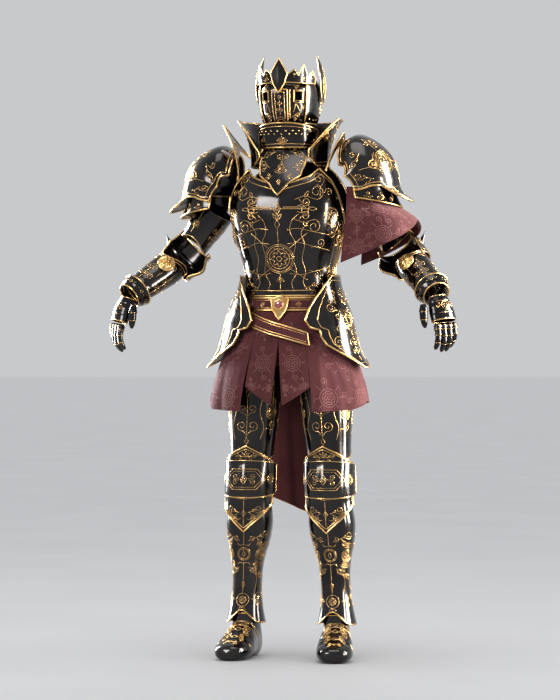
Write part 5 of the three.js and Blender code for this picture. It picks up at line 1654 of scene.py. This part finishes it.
def strap():
    """Strap that hangs slanting over the skirt front, with gilt rails along both edges."""
    def point(u, v):
        angle = STRAP_START + (STRAP_END - STRAP_START) * u
        z = STRAP_TOP_START + (STRAP_TOP_END - STRAP_TOP_START) * u - STRAP_WIDE * (1 - v)
        angle, z = np.broadcast_arrays(angle, z)
        return skirt.point(angle, z) + skirt.outward(angle, z, 0.2) * (9 + 5 * u)[..., None]

    sheet = Sheet(point, 3.0)
    piece = dress("hanging_strap", sheet, 60, 10, **PLAIN_CLOTH)
    rails = Work()
    roll_edges(rails, sheet, 2.8)
    for v in (0.2, 0.8):
        p, outward = sheet.at(np.linspace(0.04, 0.96, 80), np.full(80, v), 0.2)
        tube_into(rails, p, outward, 1.1, 0.9, sides=5, taper=4)
    close_points(rails.make("hanging_strap_gilding", "harness", GOLD_SLOT, GILT))


HIP_EDGE = [[892, 79], [928, 60], [962, 41], [986, 37], [1006, 36], [1013, 27], [1036, 23], [1070, 28],
            [1100, 36], [1140, 52], [1172, 68]]
HIP_BACK_EDGE = [[z, 84 if z < 900 else 176 - angle] for z, angle in HIP_EDGE]


def hip_ornament(work, plate):
    lay(work, plate, star(24, 12, 0.5) + ring(27, 34) + ring(32, 38) + ring(10, 18), 78, 1036, 1.3, 1.1)
    lay(work, plate, branch(66, 2, 20), 82, 1078, 1.2)
    lay_pair(work, plate, turned(flipped(vine(74)), -20), 12, 1000, 1.2, middle=82)
    lay_pair(work, plate, vine(60), 16, 1060, 1.2, middle=84)
    lay_pair(work, plate, turned(vine(54), 70), 22, 1082, 1.1, middle=84)
    lay_pair(work, plate, curve(0, 26 - 22j, 34 - 60j, 60 - 92j), 8, 1000, 1.2, middle=80)
    lay(work, plate, flipped(branch(78, 2, 20)), 80, 990, 1.2)
    border(work, plate, 0.09, 0.05, 1.3)


def hip_plate(word, side):
    form_plate = Plate(hips, lambda z: edge(HIP_EDGE, z), lambda z: edge(HIP_BACK_EDGE, z), 892, 1172,
                       lift=lambda a, z: 2.5 * bump(a, 84, 5) * np.clip((1150 - z) / 60, 0, 1))
    dress(f"hip_plate_{word}", form_plate, 60, 64, hand=side,
          steps=fractions_of([z for z, _ in HIP_EDGE], 892, 1172),
          ornament=hip_ornament, rim=3.4)


both_sides(hip_plate)
strap()

front_low = lambda angle: 768 + 66 * (np.abs(angle) / 24)
side_low = lambda angle: edge(SIDE_HEM, np.abs(angle))
tail_low = lambda angle: 440 + 46 * np.abs(angle - 180) / 27.7
panel("skirt_front_right", -24, lambda z: -SEAM / 5 - gap_at(z, 3.2), front_low,
      [(-11, 905, 24), (-19, 830, 15), (-4, 830, 12), (-13, 1000, 13)], (0.10, 0.29), 0.022, across=24)
panel("skirt_front_left", lambda z: SEAM / 5 + gap_at(z, 3.2), 23.6, front_low,
      [(11, 905, 24), (19, 830, 15), (5, 830, 12), (13, 1000, 13)], (0.10, 0.29), 0.022, across=24)
panel("skirt_side_left", 23.9, 152, side_low,
      [(38, 800, 28), (58, 905, 26), (72, 800, 24), (88, 960, 22), (104, 830, 30), (122, 930, 24),
       (138, 810, 26), (40, 960, 16)],
      (0.49, 0.31), 0.121, stops=fractions_of((60, 90, 120), 23.9, 152), across=90)
panel("skirt_side_right", -152, lambda z: -24.4 - gap_at(z + 20, 2.6), side_low,
      [(-40, 800, 28), (-60, 905, 26), (-74, 800, 24), (-88, 960, 22), (-104, 830, 30), (-122, 930, 24),
       (-138, 810, 26), (-40, 950, 16)],
      (0.49, 0.31), 0.121, across=90)
panel("back_tail", *TAIL, tail_low,
      [(180, 900, 38), (168, 780, 26), (192, 780, 26), (180, 660, 40), (168, 550, 26), (192, 550, 26),
       (180, 990, 18), (180, 490, 12)],
      (0.20, 0.62), 0.103, stops=(0.5,), across=50, along=90)


def tail_hem():
    """Gilt cord along the pointed hem and the lower sides of the back tail."""
    plate = Plate(skirt, *TAIL, tail_low, SKIRT_TOP, lift=skirt_fold, wall=CLOTH)
    s = np.linspace(0, 1, 60)
    u = np.concatenate([0 * s, s[1:], 0 * s[1:] + 1])
    v = np.concatenate([0.35 * (1 - s), 0 * s[1:], 0.35 * s[1:]])
    p, outward = plate.at(u, v)
    work = Work()
    tube_into(work, p + 0.5 * outward, outward, 2.2, 2.1, sides=8, taper=12)
    close_points(work.make("back_tail_hem", "harness", GOLD_SLOT, GILT))


tail_hem()


def half_sleeve():
    form = over_shoulder(HALF_SLEEVE)
    length = lambda a: 104 + 146 * (np.abs(a) / 104) ** 1.15
    for name, start, end, roses in (
            ("shoulder_cloth_front", SEAM / 2, 104,
             [(30, 90, 20), (62, 80, 26), (66, 160, 24), (90, 200, 22), (92, 110, 20), (40, 140, 12)]),
            ("shoulder_cloth_back", -104, -SEAM / 2,
             [(-30, 90, 20), (-62, 80, 26), (-66, 160, 24), (-90, 200, 22), (-92, 110, 20)])):
        piece = dress(name, Plate(form, start, end, 0, length, lift=sleeve_fold, wall=CLOTH), 60, 44,
                      ornament=skirt_stitching(roses), **STITCHED)


half_sleeve()


# ------------------------------------------------------------------ legs
def cuisse_ornament(work, plate):
    lay(work, plate, branch(150, 2, 30), 0, 676, 1.2)
    lay_pair(work, plate, curve(0, 9 + 40j, -6 + 90j, 4 + 150j, -2 + 190j), 32, 668, 1.2)
    lay_pair(work, plate, scroll(34, 15), 36, 700, 1.2)
    lay_pair(work, plate, flipped(scroll(34, 15)), 34, 800, 1.2)
    lay_pair(work, plate, medallion(17, 6) + ring(21, 28), 62, 752, 1.2, mirror=False)
    lay_pair(work, plate, line(22j, 84j) + line(-22j, -70j) + moved(diamond(8, 14), 0, 91), 62, 752, 1.2,
             mirror=False)
    lay_pair(work, plate, branch(130, 2, 26), 112, 700, 1.1, mirror=False)
    lay(work, plate, branch(130, 2, 28), 180, 710, 1.1)


def poleyn_ornament(work, plate):
    lay(work, plate, line(-66, -38 + 31j, 38 + 31j, 66, 38 - 31j, -38 - 31j, -66), 0, 549, 1.9, 1.5)
    lay(work, plate, line(-56, -33 + 24j, 33 + 24j, 56, 33 - 24j, -33 - 24j, -56), 0, 549, 1.0)
    lay(work, plate, diamond(20, 30) + ring(4, 14), 0, 549, 1.3)
    coils = moved(scroll(14, 8), 12, 1) + moved(flipped(scroll(14, 8)), 12, -1)
    lay(work, plate, paired(coils), 0, 549, 1.1)
    lay_pair(work, plate, medallion(15, 6), 66, 550, 1.1, mirror=False)


def lower_knee_ornament(work, plate):
    lay(work, plate, line(-36j, 44j) + moved(diamond(12, 20), 0, 4), 0, 440, 1.2)
    lay_pair(work, plate, vine(50), 7, 446, 1.1)
    lay_pair(work, plate, flipped(scroll(18, 10)), 5, 428, 1.1)
    lay_pair(work, plate, line(0, 46 + 30j), 12, 424, 1.1)
    border(work, plate, 0.045, 0.1, 1.2)


def upper_knee_ornament(work, plate):
    lay(work, plate, spray(3, 18, 40) + paired(moved(vine(32), 6, 0)), 0, 616, 1.1)
    border(work, plate, 0.05, 0.16, 1.1)


def greave_ornament(work, plate):
    lay(work, plate, ring(20, 34) + ring(16, 30) + diamond(10, 19), 0, 318, 1.3)
    brackets = curve(0 + 30j, 14 + 27j, 22 + 36j) + moved(scroll(12, 8), 12, 42)
    brackets = brackets + line(0 + 24j, 0 + 86j) + moved(leaf(20, 7, 90), 0, 86)
    lay(work, plate, paired(brackets) + paired(flipped(brackets)), 0, 318, 1.1)
    lay(work, plate, ring(20, 34) + rosette(12, 8) + moved(line(0, 40j), 0, 21)
        + moved(flipped(spray(3, 20, 40)), 0, -20), 0, 176, 1.3)
    lay_pair(work, plate, medallion(19, 6), 60, 318, 1.2, mirror=False)
    for reach in (26, 32, 38):
        lay_pair(work, plate, arc(reach, 50, 130) + arc(reach, 230, 310), 60, 318, 1.1, mirror=False)
    lay_pair(work, plate, vine(52), 26, 368, 1.1)
    lay_pair(work, plate, flipped(vine(48)), 26, 262, 1.1)
    lay_pair(work, plate, scroll(22, 11) + flipped(scroll(22, 11)), 30, 178, 1.1)
    lay_pair(work, plate, curve(0, 6 + 40j, -4 + 84j), 46, 200, 1.1)
    lay_pair(work, plate, branch(90, 2, 22), 116, 320, 1.1, mirror=False)
    lay_pair(work, plate, branch(80, 2, 18), 105, 170, 1.1, mirror=False)
    lay(work, plate, line(-100j, 90j), 180, 300, 1.2)


def sabaton_lift(angle, t):
    """Overlapping lames across the foot, each stepping up towards the ankle side."""
    lame = (np.clip(t, 1.6, 6.4) - 1.6) / 0.8
    top = np.clip(1.15 - off_front(angle) / 100, 0, 1)
    return 2.0 * (1 - (lame % 1.0)) ** 2 * top * (t < 6.3)


def leg(word, side):
    body = f"lower_leg_{word}"
    dress(f"cuisse_{word}", Plate(thigh, -180, 180,
                                  lambda a: 602 + 74 * ((1 - np.cos(np.radians(a))) / 2) ** 2, 900,
                                  closed=True,
                                  lift=lambda a, z: 2.5 * bump(a, 0, 5)),
          64, 50, hand=side, ornament=cuisse_ornament, rim=2.8)
    dress(f"poleyn_upper_lame_{word}", Plate(knee, -84, 84, 592,
        lambda a: 651 - 50 * np.minimum(np.abs(a) / 78, 1) ** 0.9),
          64, 14, hand=side, ornament=upper_knee_ornament, rim=3.0, stops=(0.5,))
    dress(f"poleyn_{word}", Plate(knee, -94, 98, lambda a: 494 + 12 * np.abs(a / 96) ** 2,
                                  lambda a: 606 - 12 * np.abs(a / 96) ** 2,
                                  lift=lambda a, z: 3.8 + 3.0 * bump(a, 0, 5) * bump(z, 550, 45)),
          72, 40, hand=side, ornament=poleyn_ornament, rim=1.6)
    dress(f"poleyn_lower_lame_{word}", Plate(knee, -80, 80,
        lambda a: 387 + 84 * np.minimum(np.abs(a) / 74, 1) ** 0.85, 500,
                                             lift=lambda a, z: 2.0 * bump(a, 0, 5)),
          64, 34, body=body, hand=side, ornament=lower_knee_ornament, rim=3.2, stops=(0.5,))
    dress(f"greave_{word}", Plate(shin, -180, 180, lambda a: 105 + 40 * bump(a, 0, 34), 480, closed=True,
                                  lift=lambda a, z: 2.2 * bump(a, 0, 6)),
          60, 70, body=body, hand=side, ornament=greave_ornament, rim=2.8)
    out = math.radians(TOE_OUT[word])

    def turn(points):
        x, y, z = points.T
        turned_x = x * math.cos(out) - y * math.sin(out)
        return np.stack([turned_x + ANKLE_ASIDE, x * math.sin(out) + y * math.cos(out), z], -1)

    boot = Plate(foot, -180, 180, 8, 0, lift=sabaton_lift, closed=True)

    def sabaton_ornament(work, plate):
        p, outward = edge_line(plate, "low", 90)
        tube_into(work, p, outward, 2.4, 2.4, closed=True, sides=8)
        for t, wide in ((3.22, 0.8), (4.82, 0.8), (5.66, 1.4)):
            a = np.linspace(-88, 88, 50)
            p, outward = plate.raised(a, np.full(50, t - 0.04), 0.0)
            tube_into(work, p, outward, wide, wide * 0.85, sides=6, taper=8)
        for t, size in ((2.5, 8), (3.4, 14), (4.3, 16), (5.15, 14)):
            per_t = float(plate.unit_length(np.float64(0), np.float64(t)))
            reach = np.float64(column(FOOT, "side", np.float64(t)))
            drawn = diamond(size * 0.6, size
                            * 1.1) + paired(moved(turned(vine(size * 2.2), 24), size * 0.4, 0))
            for stroke in drawn + paired(moved(turned(flipped(scroll(size * 0.8, size * 0.4)), -40),
                size * 0.5, -2)):
                s = fine_steps(stroke, 2.0)
                p, outward = plate.raised(np.degrees(s.real / (reach * 0.95)), t - s.imag / per_t, 0.1)
                tube_into(work, p, outward, 1.0, 0.8, sides=5, taper=4)

    dress(f"sabaton_{word}", boot, 56, 96, body=body, hand=side, pole=True, inward=(0, 1.0, 0),
          rolled=False,
          ornament=sabaton_ornament, turn=turn)


both_sides(leg)


# ------------------------------------------------------------------ studio
def studio():
    """Wide pale floor under an even pale sky, tall soft boxes at both sides, a soft front light and a
    wide soft one above. Only the sky and the one above light the floor, so that it stays even."""
    a = np.linspace(0, 2 * np.pi, 64, endpoint=False)
    radii = np.array([1.0, 4000.0, 90000.0])
    disc = np.stack([radii[:, None] * np.cos(a), radii[:, None] * np.sin(a), np.full((3, 64), -0.4)], -1)
    mesh = bpy.data.meshes.new("studio_floor")
    mesh.from_pydata(to_frame(disc), [], grid_quads(3, 64, True).tolist())
    mesh.materials.append(pale_floor())
    floor = bpy.data.objects.new("studio_floor", mesh)
    bpy.context.scene.collection.objects.link(floor)
    floor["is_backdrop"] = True
    off_floor = bpy.data.collections.new("lit_by_boxes")
    off_floor.objects.link(floor)
    off_floor.collection_objects[0].light_linking.link_state = "EXCLUDE"

    def soft_box(name, place, aim, wide, tall, power, colour=(1.0, 1.0, 1.0), spread=85.0):
        light = bpy.data.lights.new(name, "AREA")
        light.shape, light.size, light.size_y, light.energy, light.color = "RECTANGLE", wide, tall, power, colour
        light.spread = math.radians(spread)
        lamp = bpy.data.objects.new(name, light)
        lamp.location = place
        lamp.rotation_euler = (Vector(aim) - Vector(place)).to_track_quat("-Z", "Y").to_euler()
        lamp.visible_camera = False
        if name != "top_box":
            lamp.light_linking.receiver_collection = off_floor
        bpy.context.scene.collection.objects.link(lamp)

    soft_box("right_side_box", (-2.8, 1.3, 0.2), (0, 0, -0.45), 0.8, 2.6, 130, (0.94, 0.97, 1.0))
    soft_box("left_side_box", (3.0, 0.7, 0.2), (0, 0, -0.45), 1.0, 2.6, 150, (1.0, 0.97, 0.93))
    soft_box("front_box", (-2.2, -4.4, 1.6), (0, 0, -0.35), 2.2, 2.2, 42, spread=70.0)
    soft_box("front_left_box", (4.0, -1.0, -0.3), (0.1, 0, -0.5), 0.4, 1.8, 34, (1.0, 0.95, 0.88), 80.0)
    soft_box("top_box", (0.2, -0.6, 3.6), (0, 0, -0.2), 2.4, 2.4, 40, spread=150.0)

    world = bpy.data.worlds.new("studio")
    world.use_nodes = True
    world.node_tree.nodes["Background"].inputs["Color"].default_value = (0.72, 0.73, 0.75, 1)
    world.node_tree.nodes["Background"].inputs["Strength"].default_value = 0.8
    bpy.context.scene.world = world


CAMERA_TURN = 15.0        # degrees round towards the armour's left
CAMERA_HEIGHT = -0.505
CAMERA_AWAY = 8.75
VIEW_HEIGHT = 2.156       # what the long side of the frame takes in at the armour, m
AIM_ASIDE = -0.0323       # the armour stands a little right of the middle


def camera():
    data = bpy.data.cameras.new("camera")
    data.sensor_width = 36.0
    data.lens = 36.0 * CAMERA_AWAY / VIEW_HEIGHT
    data.clip_end = 200.0
    eye = bpy.data.objects.new("camera", data)
    turn = math.radians(CAMERA_TURN)
    right = np.array([math.cos(turn), math.sin(turn), 0.0])
    back = np.array([math.sin(turn), -math.cos(turn), 0.0])
    eye.location = back * CAMERA_AWAY + right * AIM_ASIDE + np.array([0.0, 0.0, CAMERA_HEIGHT])
    eye.rotation_euler = (math.radians(90), 0.0, turn)
    bpy.context.scene.collection.objects.link(eye)
    bpy.context.scene.camera = eye


studio()
camera()
bpy.context.scene.view_settings.view_transform = "Standard"

{"cad": [list(corner) for corner in cad_box], "visual": [list(corner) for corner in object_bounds()]}
